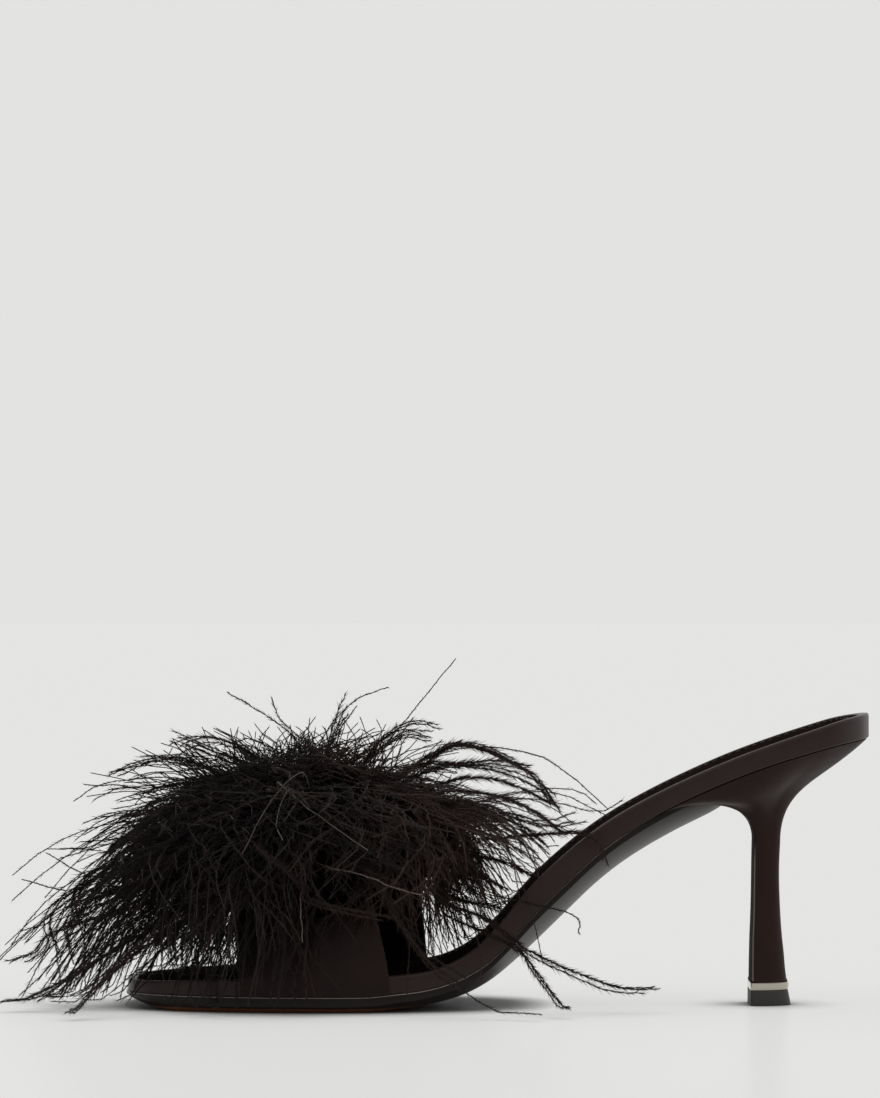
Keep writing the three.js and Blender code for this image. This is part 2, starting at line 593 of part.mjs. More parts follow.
// A soft lock of feathers: a tapering tube that bends down under its own weight
function lock(root, tip, sag, thickness, taper) {
  const way = tip.clone().sub(root);
  const rows = [];
  for (let s = 0; s <= LOCK_STEPS; s += 1) {
    const t = s / LOCK_STEPS;
    const centre = root.clone().addScaledVector(way, t);
    centre.z += sag * way.length() * 4 * t * (1 - t);
    const along = way.clone();
    along.z += sag * way.length() * 4 * (1 - 2 * t);
    along.normalize();
    const across = new THREE.Vector3(0, 0, 1).cross(along).normalize();
    const upright = along.clone().cross(across);
    const radius = lerp(thickness, LOCK_TIP_RADIUS, t ** taper);
    const row = [];
    for (let k = 0; k < LOCK_SIDES; k += 1) {
      const turn = (k / LOCK_SIDES) * Math.PI * 2;
      const p = centre.clone().addScaledVector(across, Math.cos(turn) * radius);
      row.push(p.addScaledVector(upright, Math.sin(turn) * radius));
    }
    rows.push(row);
  }
  return solidOfRows(rows, true);
}

const puffCentre = new THREE.Vector3(toX(PUFF_CENTRE), 0, PUFF_CENTRE_HEIGHT);
const puffHalf = new THREE.Vector3(PUFF_LENGTH / 2, PUFF_WIDTH / 2, PUFF_HEIGHT / 2);

// The dense body of the puff, with shallow clumps
function puff() {
  const ball = new THREE.SphereGeometry(1, PUFF_TURN_STEPS, PUFF_RISE_STEPS);
  ball.rotateX(Math.PI / 2);
  const position = ball.attributes.position;
  for (let i = 0; i < position.count; i += 1) {
    const p = new THREE.Vector3().fromBufferAttribute(position, i);
    const turn = Math.atan2(p.y, p.x);
    const clump = Math.sin(5 * turn + 2 * p.z) * Math.cos(3 * turn - 4 * p.z) * (1 - p.z * p.z);
    p.multiplyScalar(1 + LOBE_DEPTH * clump);
    p.multiply(puffHalf).add(puffCentre);
    position.setXYZ(i, p.x, p.y, p.z);
  }
  return tidy(ball);
}

// Feather trim: puff and locks in one body, hollow over the strap and the foot
function feathers() {
  let body = toManifold(puff());
  const add = (out, sag, thickness, taper) => {
    const tip = puffCentre.clone().add(out);
    const root = puffCentre.clone().addScaledVector(out, LOCK_ROOT);
    tip.z = Math.max(tip.z, FLOOR_CLEARANCE);
    root.z = Math.max(root.z, LOWEST_ROOT);
    body = body.add(toManifold(lock(root, tip, sag, thickness, taper)));
  };
  for (const row of LONG_LOCKS) {
    const out = new THREE.Vector3(row.along, row.across, row.up).multiplyScalar(FEATHER_REACH);
    add(out, row.sag, LOCK_RADIUS, 1);
  }
  const goldenTurn = Math.PI * (3 - Math.sqrt(5));
  for (let k = 0; k < LOOSE.locks; k += 1) {
    const turn = k * goldenTurn;
    const height = lerp(LOOSE.low, LOOSE.high, (k + 0.5) / LOOSE.locks);
    const flat = Math.sqrt(1 - height * height);
    const stretch = LOOSE.stretch + LOOSE.uneven * Math.sin(k * LOOSE.pace);
    const out = new THREE.Vector3(Math.cos(turn) * flat, Math.sin(turn) * flat, height);
    out.multiply(puffHalf).multiplyScalar(stretch);
    out.z -= LOCK_DROOP * flat;
    add(out, LOOSE.sag, LOOSE_LOCK_RADIUS, LOOSE.taper);
  }
  for (let k = 0; k < FRINGE.locks; k += 1) {
    const turn = THREE.MathUtils.degToRad(lerp(FRINGE.from, FRINGE.to, k / (FRINGE.locks - 1)));
    const stretch = FRINGE.stretch + FRINGE.uneven * Math.sin(k * FRINGE.pace);
    const out = new THREE.Vector3(Math.cos(turn), Math.sin(turn), 0).multiply(puffHalf).multiplyScalar(stretch);
    out.z = FRINGE.tipHeight - PUFF_CENTRE_HEIGHT;
    add(out, FRINGE.sag, LOOSE_LOCK_RADIUS, FRINGE.taper);
  }
  return mainBody(body.subtract(toManifold(footSpace())));
}

const material = (color, roughness, metalness = 0) => {
  return new THREE.MeshStandardMaterial({ color, roughness, metalness });
};
const darkLeather = material(0x2a2120, 0.42);
const sockLeather = material(0x241c1b, 0.55);
const steel = material(0xd9d9d6, 0.18, 1);
const rubber = material(0x1b1a1a, 0.7);
const feather = material(0x1c1716, 0.85);

function piece(name, shape, finish) {
  const geometry = shape.isBufferGeometry ? shape : toGeometry(shape);
  const mesh = new THREE.Mesh(geometry, finish);
  mesh.name = name;
  return mesh;
}

const sandal = new THREE.Group();
sandal.name = 'slide_sandal';
sandal.add(piece('outsole', outsole(), darkLeather));
sandal.add(piece('footbed', footbed(), darkLeather));
sandal.add(piece('insole', insole(), sockLeather));
sandal.add(piece('upper', strap(), darkLeather));
sandal.add(piece('feather_trim', feathers(), feather));
sandal.add(piece('heel', heel(), darkLeather));
sandal.add(piece('heel_band', footSlab(TOP_PIECE_HEIGHT, bandTop, 0, 0), steel));
sandal.add(piece('top_piece', footSlab(0, TOP_PIECE_HEIGHT, TOP_PIECE_FLARE, 0), rubber));

export default sandal;
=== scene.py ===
"""Dressed model of a high-heeled slide sandal with a feather-trimmed vamp strap, for the left foot.

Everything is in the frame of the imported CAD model: metres, +Z up, the toe towards -X and the outer side of
the foot towards -Y. Shapes are worked out in millimetres and turned to metres when their mesh is made.
"""

from __future__ import annotations

import logging
import math
from dataclasses import dataclass, field
from enum import Enum
from functools import cached_property
from typing import Any, Callable, Sequence

import bmesh
import bpy
import numpy as np
from bpy.types import ID, Material, Modifier, Node, NodeSocket, NodeTree, Object
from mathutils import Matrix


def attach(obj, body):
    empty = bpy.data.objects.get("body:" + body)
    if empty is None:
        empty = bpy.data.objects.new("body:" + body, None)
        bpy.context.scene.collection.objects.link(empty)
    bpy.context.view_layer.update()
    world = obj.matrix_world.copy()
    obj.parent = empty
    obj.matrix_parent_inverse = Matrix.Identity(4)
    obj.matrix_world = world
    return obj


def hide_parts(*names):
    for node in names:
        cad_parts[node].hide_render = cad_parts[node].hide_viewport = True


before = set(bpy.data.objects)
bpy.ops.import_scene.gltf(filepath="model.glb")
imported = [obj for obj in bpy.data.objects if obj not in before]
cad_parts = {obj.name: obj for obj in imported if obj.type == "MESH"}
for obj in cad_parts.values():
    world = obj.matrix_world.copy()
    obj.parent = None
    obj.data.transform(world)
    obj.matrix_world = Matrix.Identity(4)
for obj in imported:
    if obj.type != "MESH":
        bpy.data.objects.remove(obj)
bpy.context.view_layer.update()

log = logging.getLogger("slide_sandal")

MM = 0.001
BODY = "root"
SMOOTH_ANGLE = math.radians(38)


class Fuzz(Enum):
    """How downy a strand is: spacing of its barbules, their length and their radius, in millimetres."""

    DOWN = (0.92, 4.6, 0.12)
    PLUME = (0.52, 3.6, 0.11)
    THREAD = (0.24, 3.4, 0.12)
    HAIR = (1.1, 2.4, 0.065)


def linear(hex_colour: str) -> tuple[float, float, float, float]:
    """Turns an sRGB hex colour into linear light.

    Args:
        hex_colour: Six hex digits after a hash sign.

    Returns:
        Red, green, blue and an alpha of 1.
    """
    parts = [int(hex_colour[i:i + 2], 16) / 255 for i in (1, 3, 5)]
    light = [c / 12.92 if c <= 0.04045 else ((c + 0.055) / 1.055) ** 2.4 for c in parts]
    return (light[0], light[1], light[2], 1.0)


def add(tree: NodeTree, kind: str, inputs: dict[Any, Any] | None = None, **settings: Any) -> Node:
    """Adds a node with its settings, values and links.

    Args:
        tree: The node tree it goes into.
        kind: The node's type name.
        inputs: Values or output sockets by the input's name or number.
        **settings: Properties of the node itself, set before its inputs.

    Returns:
        The new node.
    """
    node = tree.nodes.new(kind)
    for name, value in settings.items():
        setattr(node, name, value)
    for name, value in (inputs or {}).items():
        socket = node.inputs[name]
        if isinstance(value, NodeSocket):
            tree.links.new(value, socket)
        else:
            socket.default_value = value
    return node


def maths(tree: NodeTree, operation: str, *values: Any) -> NodeSocket:
    """Adds a calculation with numbers or sockets and returns its result."""
    return add(tree, "ShaderNodeMath", dict(enumerate(values)), operation=operation).outputs[0]


def noise(tree: NodeTree, place: NodeSocket, size_mm: float, detail: float) -> NodeSocket:
    """Adds a noise with patches of this width and returns its value."""
    return add(tree, "ShaderNodeTexNoise",
               {"Vector": place, "Scale": 1 / (size_mm * MM), "Detail": detail}).outputs["Fac"]


def streaks(tree: NodeTree, place: NodeSocket, sizes_mm: tuple[float, float, float],
            detail: float) -> NodeSocket:
    """Adds a noise that is stretched along the axes.

    Args:
        tree: The material's tree.
        place: Object coordinates.
        sizes_mm: Size of the streaks along each axis.
        detail: How many finer layers it has.

    Returns:
        Its value.
    """
    scale = tuple(1 / (size * MM) for size in sizes_mm)
    laid = add(tree, "ShaderNodeMapping", {"Vector": place, "Scale": scale}).outputs[0]
    return add(tree, "ShaderNodeTexNoise", {"Vector": laid, "Scale": 1.0, "Detail": detail}).outputs["Fac"]


def ramp(tree: NodeTree, value: NodeSocket, start: float, end: float,
         low: float = 0.0, high: float = 1.0, shape: str = "LINEAR") -> NodeSocket:
    """Maps a value from one range to another, held at both ends.

    Args:
        tree: The tree.
        value: What is mapped.
        start: The value that gives low.
        end: The value that gives high.
        low: Result at the start.
        high: Result at the end.
        shape: How it goes from one to the other.

    Returns:
        The result.
    """
    return add(tree, "ShaderNodeMapRange", {
        "Value": value, "From Min": start, "From Max": end, "To Min": low, "To Max": high},
        interpolation_type=shape).outputs[0]


def blend(tree: NodeTree, share: NodeSocket, first: Any, second: Any) -> NodeSocket:
    """Mixes two colours, each a hex colour or a socket, and returns the mix."""
    first, second = (linear(c) if isinstance(c, str) else c for c in (first, second))
    return add(tree, "ShaderNodeMix", {0: share, 6: first, 7: second}, data_type="RGBA").outputs[2]


def relief(tree: NodeTree, height: NodeSocket, depth_mm: float, strength: float = 1.0,
           under: NodeSocket | None = None) -> NodeSocket:
    """Adds a bump.

    Args:
        tree: The material's tree.
        height: What it is worked out from.
        depth_mm: How deep it is where the height goes from 0 to 1.
        strength: How strongly it shows.
        under: The normal that it lies on, if there is one.

    Returns:
        Its normal.
    """
    below = {} if under is None else {"Normal": under}
    return add(tree, "ShaderNodeBump", {
        "Height": height, "Distance": depth_mm * MM, "Strength": strength, **below}).outputs["Normal"]


def facing(tree: NodeTree, axis: str) -> NodeSocket:
    """Adds how far the surface faces along an axis, from -1 to 1, and returns it."""
    normal = add(tree, "ShaderNodeNewGeometry").outputs["Normal"]
    return add(tree, "ShaderNodeSeparateXYZ", {"Vector": normal}).outputs[axis]


def start_tree(name: str, inputs: dict[str, str]) -> tuple[NodeTree, Any]:
    """Starts a Geometry Nodes tree that takes and gives a geometry.

    Args:
        name: Its name.
        inputs: The kind of each further input, by name.

    Returns:
        The tree and the sockets of its inputs.
    """
    tree = bpy.data.node_groups.new(name, "GeometryNodeTree")
    sockets = [("Geometry", "INPUT", "Geometry"), *((key, "INPUT", kind) for key, kind in inputs.items()),
               ("Geometry", "OUTPUT", "Geometry")]
    for key, way, kind in sockets:
        tree.interface.new_socket(name=key, in_out=way, socket_type="NodeSocket" + kind)
    return tree, add(tree, "NodeGroupInput").outputs


def lay_out(tree: NodeTree, spots: Node, shape: NodeSocket, turned: Node, scale: Node) -> NodeSocket:
    """Adds nodes that lay a shape on each spot and make the copies real.

    Args:
        tree: The tree.
        spots: The node whose points they lie on.
        shape: What is laid.
        turned: The node that gives their rotation.
        scale: The node that gives their size.

    Returns:
        The copies as one geometry.
    """
    laid = add(tree, "GeometryNodeInstanceOnPoints", {
        "Points": spots.outputs["Points"], "Instance": shape, "Rotation": turned.outputs[0],
        "Scale": scale.outputs[0]})
    return add(tree, "GeometryNodeRealizeInstances", {"Geometry": laid.outputs[0]}).outputs[0]


def end_tree(tree: NodeTree, geometry: NodeSocket, material: NodeSocket) -> None:
    """Gives a tree's geometry its material and its way out."""
    done = add(tree, "GeometryNodeSetMaterial", {"Geometry": geometry, "Material": material})
    add(tree, "NodeGroupOutput", {"Geometry": done.outputs[0]})


# Shape of the shoe


@dataclass(frozen=True)
class Table:
    """A table of shape values with named columns, ordered by its first column."""

    columns: tuple[str, ...]
    rows: tuple[tuple[float, ...], ...]

    def column(self, name: str) -> np.ndarray:
        """Returns one column as an array."""
        return np.array([row[self.columns.index(name)] for row in self.rows], float)

    def read(self, name: str, place: np.ndarray | float) -> np.ndarray:
        """Reads a smooth value at any place between the rows.

        Args:
            name: The column to read.
            place: Places on the first column.

        Returns:
            The values, with the slopes at each row kept smooth.
        """
        key, value = self.column(self.columns[0]), self.column(name)
        at = np.clip(np.asarray(place, float), key[0], key[-1])
        i = np.clip(np.searchsorted(key, at, side="left") - 1, 0, len(key) - 2)
        before = np.maximum(np.arange(len(key)) - 1, 0)
        after = np.minimum(np.arange(len(key)) + 1, len(key) - 1)
        slope = (value[after] - value[before]) / (key[after] - key[before])
        span = key[i + 1] - key[i]
        t = (at - key[i]) / span
        ease = t * t * (3 - 2 * t)
        leave = t * (1 - t) ** 2 * slope[i] * span
        arrive = t * t * (t - 1) * slope[i + 1] * span
        return value[i] + (value[i + 1] - value[i]) * ease + leave + arrive


OUTLINE = Table(("along", "outer", "inner"), (
    (0.0, 0.03, 0.03), (0.003, -0.11, 0.16), (0.014, -0.225, 0.27), (0.04, -0.325, 0.355),
    (0.09, -0.415, 0.43), (0.16, -0.478, 0.475), (0.24, -0.51, 0.49), (0.31, -0.505, 0.488),
    (0.37, -0.47, 0.462), (0.43, -0.41, 0.405), (0.5, -0.35, 0.345), (0.58, -0.308, 0.3),
    (0.66, -0.296, 0.292), (0.74, -0.315, 0.312), (0.82, -0.34, 0.34), (0.89, -0.345, 0.345),
    (0.945, -0.3, 0.3), (0.98, -0.205, 0.205), (0.995, -0.105, 0.105), (1.0, 0.0, 0.0),
))

# The outsole leaves the outline where the heel's wings begin, and ends inside the heel's breast
OUTSOLE_END = Table(("along", "outer", "inner"), (
    (0.685, -0.291, 0.287), (0.715, -0.279, 0.277), (0.745, -0.26, 0.26), (0.775, -0.232, 0.232),
    (0.805, -0.19, 0.19), (0.827, -0.115, 0.115), (0.836, 0.0, 0.0),
))

SIDE = Table(("along", "rise", "wall", "depth", "edge", "round"), (
    (0.0, 0.0, 0.53, 0.3, 0.6, 0.1), (0.02, 0.0, 0.56, 0.56, 0.6, 0.1),
    (0.035, 0.0, 0.585, 0.76, 0.6, 0.1), (0.05, 0.0, 0.6, 0.88, 0.62, 0.1),
    (0.063, 0.0, 0.63, 1.0, 0.62, 0.1), (0.1, 0.0, 0.69, 1.0, 0.62, 0.1),
    (0.17, 0.0, 0.78, 1.0, 0.62, 0.1), (0.235, 0.0, 0.86, 1.0, 0.62, 0.1),
    (0.32, 0.0, 0.85, 1.0, 0.6, 0.12), (0.37, 0.012, 0.82, 1.07, 0.5, 0.3),
    (0.4, 0.022, 0.81, 1.14, 0.44, 0.5), (0.43, 0.043, 0.85, 1.26, 0.38, 0.7),
    (0.46, 0.078, 0.98, 1.39, 0.34, 0.85), (0.49, 0.135, 1.18, 1.56, 0.3, 1.0),
    (0.52, 0.225, 1.35, 1.87, 0.27, 1.0), (0.55, 0.32, 1.4, 2.08, 0.25, 1.0),
    (0.59, 0.433, 1.36, 2.06, 0.25, 1.0), (0.63, 0.542, 1.17, 2.0, 0.25, 1.0),
    (0.67, 0.63, 1.03, 1.93, 0.25, 1.0), (0.72, 0.716, 0.95, 1.86, 0.25, 1.0),
    (0.77, 0.788, 0.92, 1.86, 0.25, 1.0), (0.82, 0.851, 0.91, 2.35, 0.25, 1.0),
    (0.87, 0.905, 0.91, 2.5, 0.25, 1.0), (0.92, 0.949, 0.97, 2.5, 0.25, 1.0),
    (0.96, 0.979, 1.05, 2.5, 0.25, 1.0), (1.0, 1.0, 1.1, 2.5, 0.25, 1.0),
))

STRAP_EDGES = Table(("arc", "front", "rear"), (
    (0.0, 0.156, 0.357), (0.15, 0.15, 0.337), (0.3, 0.143, 0.327), (0.5, 0.139, 0.332),
    (0.7, 0.141, 0.36), (0.85, 0.146, 0.392), (1.0, 0.152, 0.405),
))

SHAFT = Table(("up", "front", "back", "half"), (
    (0.0, -0.53, 0.8, 0.69), (0.1, -0.53, 0.735, 0.655), (0.21, -0.52, 0.69, 0.62),
    (0.32, -0.51, 0.63, 0.585), (0.43, -0.49, 0.585, 0.555), (0.56, -0.47, 0.55, 0.525),
    (0.7, -0.46, 0.525, 0.505), (0.85, -0.45, 0.525, 0.5), (1.0, -0.435, 0.56, 0.515),
))


@dataclass(frozen=True)
class Last:
    """The form that the whole shoe is built on, with its driving sizes in millimetres."""

    length: float = 221.0
    ball_width: float = 76.0
    seat_height: float = 79.7
    outsole_thickness: float = 4.6
    wall_height: float = 6.8
    tread_centre: float = 0.2
    strap_wall: float = 2.0
    strap_proud: float = 0.4
    vamp_front_height: float = 33.0
    vamp_rear_height: float = 47.0
    instep_shift: float = 4.0
    arch_power: float = 2.5
    stations: int = 9

    def to_x(self, share: np.ndarray | float) -> np.ndarray | float:
        """Turns a share of the length into a place in the frame."""
        return (share - self.tread_centre) * self.length

    def to_share(self, x: np.ndarray | float) -> np.ndarray | float:
        """Turns a place in the frame into a share of the length."""
        return x / self.length + self.tread_centre

    def seam_z(self, x: np.ndarray | float) -> np.ndarray:
        """Height of the seam between outsole and footbed."""
        rise = np.maximum(SIDE.read("rise", self.to_share(x)), 0)
        return self.outsole_thickness + (self.seat_height - self.outsole_thickness) * rise

    def rim_z(self, x: np.ndarray | float) -> np.ndarray:
        """Height of the footbed's rim."""
        return self.seam_z(x) + self.wall_height * SIDE.read("wall", self.to_share(x))

    def outline(self, rows: Sequence[tuple[float, ...]]) -> np.ndarray:
        """Draws a smooth outline through rows of along, outer and inner.

        Args:
            rows: The rows, whose widths are shares of the ball's width.

        Returns:
            One line for each station: x, outer and inner side.
        """
        points = np.array([(self.to_x(a), o * self.ball_width, i * self.ball_width) for a, o, i in rows])
        points = np.vstack([2 * points[0] - points[1], points, 2 * points[-1] - points[-2]])
        gaps = np.linalg.norm(np.diff(points, axis=0), axis=1) ** 0.5
        drawn = []
        for k in range(1, len(points) - 2):
            p0, p1, p2, p3 = points[k - 1:k + 3]
            d0, d1, d2 = gaps[k - 1:k + 2]
            t1 = ((p1 - p0) / d0 - (p2 - p0) / (d0 + d1) + (p2 - p1) / d1) * d1
            t2 = ((p2 - p1) / d1 - (p3 - p1) / (d1 + d2) + (p3 - p2) / d2) * d1
            for t in np.arange(self.stations) / self.stations:
                bend = -3 * p1 + 3 * p2 - 2 * t1 - t2
                rest = 2 * p1 - 2 * p2 + t1 + t2
                drawn.append(p1 + t1 * t + bend * t * t + rest * t ** 3)
        drawn.append(points[-2])
        return np.array(drawn)

    def sides(self, x: np.ndarray | float) -> tuple[np.ndarray, np.ndarray]:
        """Outer and inner side of the sole at places along it."""
        pairs = self.sole_pairs
        return np.interp(x, pairs[:, 0], pairs[:, 1]), np.interp(x, pairs[:, 0], pairs[:, 2])

    @cached_property
    def sole_pairs(self) -> np.ndarray:
        """The stations of the whole sole's outline."""
        return self.outline(OUTLINE.rows)

    def ring(self, pairs: np.ndarray) -> tuple[np.ndarray, np.ndarray]:
        """Closes an outline to a ring of edge points, each with its point on the middle line.

        Args:
            pairs: Stations as outline() draws them.

        Returns:
            Edge points and middle points, as x and y.
        """
        tuck = self.ball_width / 4
        at = np.clip(pairs[:, 0], pairs[0, 0] + tuck, pairs[-1, 0] - tuck)
        outer, inner = self.sides(at)
        middle = np.column_stack([at, (outer + inner) / 2])
        edge = np.vstack([pairs[:, (0, 1)], pairs[-2:0:-1, (0, 2)]])
        return edge, np.vstack([middle, middle[-2:0:-1]])

    def arch(self, x: np.ndarray, arc: np.ndarray | float, thick: np.ndarray | float) -> np.ndarray:
        """Points of the arch over the foot.

        Args:
            x: Places along the shoe.
            arc: From 0 at the strap's outer foot to 1 at its inner foot.
            thick: Distance out from the strap's inner face.

        Returns:
            The points, one a line.
        """
        x = np.asarray(x, float)
        held = np.clip(x, self.to_x(0.1), self.to_x(0.43))
        outer, inner = self.sides(held)
        ridge = (outer + inner) / 2 + self.instep_shift
        turn = np.asarray(arc) * math.pi
        reach = np.abs(np.cos(turn)) ** (2 / self.arch_power)
        lift = np.abs(np.sin(turn)) ** (2 / self.arch_power)
        grow = self.strap_proud - self.strap_wall + thick
        half = np.where(np.asarray(arc) < 0.5, outer - ridge - grow, inner - ridge + grow)
        front, rear = STRAP_EDGES.read("front", 0.5), STRAP_EDGES.read("rear", 0.5)
        share = (self.to_share(held) - front) / (rear - front)
        crown = self.vamp_front_height + (self.vamp_rear_height - self.vamp_front_height) * share + thick
        seam = self.seam_z(held)
        return np.stack(np.broadcast_arrays(x, ridge + half * reach, seam + (crown - seam) * lift), axis=-1)


LAST = Last()


# Meshes


def new_object(name: str, data: ID) -> Object:
    """Makes an object and puts it in the scene.

    Args:
        name: Its name.
        data: Its mesh or camera.

    Returns:
        The new object.
    """
    made = bpy.data.objects.new(name, data)
    bpy.context.scene.collection.objects.link(made)
    return made


def bake(piece: Object, modifier: Modifier) -> None:
    """Keeps what a modifier makes as the piece's plain mesh.

    Args:
        piece: The piece.
        modifier: Its only modifier, which is taken off.
    """
    bpy.context.view_layer.update()
    evaluated = piece.evaluated_get(bpy.context.evaluated_depsgraph_get())
    made = bpy.data.meshes.new_from_object(evaluated)
    piece.modifiers.remove(modifier)
    before, piece.data = piece.data, made
    bpy.data.meshes.remove(before)
    made.name = piece.name


def finish_mesh(bm: bmesh.types.BMesh, name: str) -> Object:
    """Merges what is doubled, turns the faces outwards and makes the object.

    Args:
        bm: The mesh, in metres; it is freed.
        name: The name of the piece.

    Returns:
        The new object at the origin.
    """
    bmesh.ops.remove_doubles(bm, verts=bm.verts, dist=2e-7)
    bmesh.ops.dissolve_degenerate(bm, edges=bm.edges, dist=1e-8)
    bmesh.ops.recalc_face_normals(bm, faces=bm.faces)
    mesh = bpy.data.meshes.new(name)
    bm.to_mesh(mesh)
    bm.free()
    mesh.shade_smooth()
    mesh.set_sharp_from_angle(angle=SMOOTH_ANGLE)
    return new_object(name, mesh)


def loft(name: str, rows: Sequence[np.ndarray], capped: bool = False) -> Object:
    """Skins rows of points that each close on themselves.

    Args:
        name: The name of the piece.
        rows: Rows with the same number of points, in millimetres.
        capped: Closes the first and last row with a face each; otherwise they close by merging.

    Returns:
        The new object.
    """
    count = len(rows[0])
    bm = bmesh.new()
    verts = [bm.verts.new(p) for p in np.vstack(rows) * MM]
    for r in range(len(rows) - 1):
        for k in range(count):
            a, b = r * count + k, r * count + (k + 1) % count
            bm.faces.new((verts[a], verts[b], verts[b + count], verts[a + count]))
    if capped:
        bm.faces.new(verts[:count][::-1])
        bm.faces.new(verts[-count:])
    return finish_mesh(bm, name)


def slab(name: str, pairs: np.ndarray, stops: Sequence[tuple[float, float, Callable]],
         proud: Callable | None = None) -> Object:
    """Builds one layer of the sole from stops that lead round its edge.

    Args:
        name: The name of the piece.
        pairs: Stations of its outline.
        stops: Inset in millimetres, share of the way to the middle line, and height at x and share.
        proud: How far the edge stands out at x, in millimetres.

    Returns:
        The new object.
    """
    edge, middle = LAST.ring(pairs)
    way = middle - edge
    length = np.linalg.norm(way, axis=1)
    if proud is not None:
        unit = way / np.maximum(length, 1e-9)[:, None]
        edge = edge - unit * proud(edge[:, 0])[:, None]
        way = middle - edge
        length = np.linalg.norm(way, axis=1)
    rows = []
    for inset, share, height in stops:
        t = np.clip(inset / np.maximum(length, 1e-9) + share, 0, 1)
        flat = edge + way * t[:, None]
        rows.append(np.column_stack([flat, height(flat[:, 0])]))
    return loft(name, rows)


def quarter(start: tuple[float, float], end: tuple[float, float], steps: int,
            bulge: tuple[float, float]) -> list[tuple[float, float]]:
    """Points of a quarter round between two stops.

    Args:
        start: Inset and height where it begins.
        end: Inset and height where it ends.
        steps: Number of pieces it is made of.
        bulge: The corner that it rounds off.

    Returns:
        Inset and height pairs, both ends included.
    """
    t = np.linspace(0, 1, steps + 1)[:, None]
    a, b, c = (np.array(p, float) for p in (start, bulge, end))
    drawn = (1 - t) ** 2 * a + 2 * t * (1 - t) * b + t * t * c
    return [(float(x), float(z)) for x, z in drawn]


# Finishes


@dataclass(frozen=True)
class Finish:
    """A finish with its name, and the common start and end of its node tree."""

    name: str

    def build(self) -> Material:
        """Builds the material.

        Returns:
            The material, with its surface worked out by surface().
        """
        material = bpy.data.materials.new(self.name)
        material.use_nodes = True
        tree = material.node_tree
        tree.nodes.clear()
        place = add(tree, "ShaderNodeTexCoord").outputs["Object"]
        shader = self.surface(tree, place)
        add(tree, "ShaderNodeOutputMaterial", {"Surface": shader.outputs[0]})
        return material

    def surface(self, tree: NodeTree, place: NodeSocket) -> Node:
        """Adds the surface's nodes and returns its shader."""
        raise NotImplementedError


@dataclass(frozen=True)
class CalfLeather(Finish):
    """Smooth drum-dyed calf leather: a fine pore grain, a soft waviness where it is wrapped, a satin top."""

    dark: str = "#1c110f"
    light: str = "#2f1f1c"
    roughness: float = 0.42
    cloud_mm: float = 9.0  # patches where the dye took more or less
    pore_mm: float = 0.9  # real pores are 0.2 mm, drawn coarser so that they show
    wave_mm: float = 16.0
    pore_depth_mm: float = 0.03
    wave_depth_mm: float = 0.12
    coat: float = 0.04
    coat_roughness: float = 0.2
    specular: float = 0.24

    def surface(self, tree: NodeTree, place: NodeSocket) -> Node:
        """Adds the leather's nodes.

        Args:
            tree: The material's tree.
            place: Object coordinates.

        Returns:
            The shader node.
        """
        cloud = noise(tree, place, self.cloud_mm, 4.0)
        pores = add(tree, "ShaderNodeTexVoronoi", {"Vector": place, "Scale": 1 / (self.pore_mm * MM)},
                    feature="SMOOTH_F1").outputs["Distance"]
        grain = maths(tree, "ADD", pores, noise(tree, place, 0.5 * self.pore_mm, 2.0))
        wave = relief(tree, noise(tree, place, self.wave_mm, 1.0), self.wave_depth_mm)
        return add(tree, "ShaderNodeBsdfPrincipled", {
            "Base Color": blend(tree, cloud, self.dark, self.light),
            "Roughness": ramp(tree, cloud, 0.3, 0.7, self.roughness - 0.05, self.roughness + 0.06),
            "Normal": relief(tree, grain, self.pore_depth_mm, under=wave), "IOR": 1.48,
            "Specular IOR Level": self.specular, "Coat Weight": self.coat,
            "Coat Roughness": self.coat_roughness})


@dataclass(frozen=True)
class HeelCalf(CalfLeather):
    """Calf leather of the heel: satin all round, matt on the breast, the face under the arch."""

    def surface(self, tree: NodeTree, place: NodeSocket) -> Node:
        """Adds the leather's nodes.

        Args:
            tree: The material's tree.
            place: Object coordinates.

        Returns:
            The shader node.
        """
        shader = super().surface(tree, place)
        breast = ramp(tree, facing(tree, "X"), -0.7, -0.95)
        gloss = shader.inputs["Roughness"]
        tree.links.new(maths(tree, "MAXIMUM", gloss.links[0].from_socket, breast), gloss)
        return shader


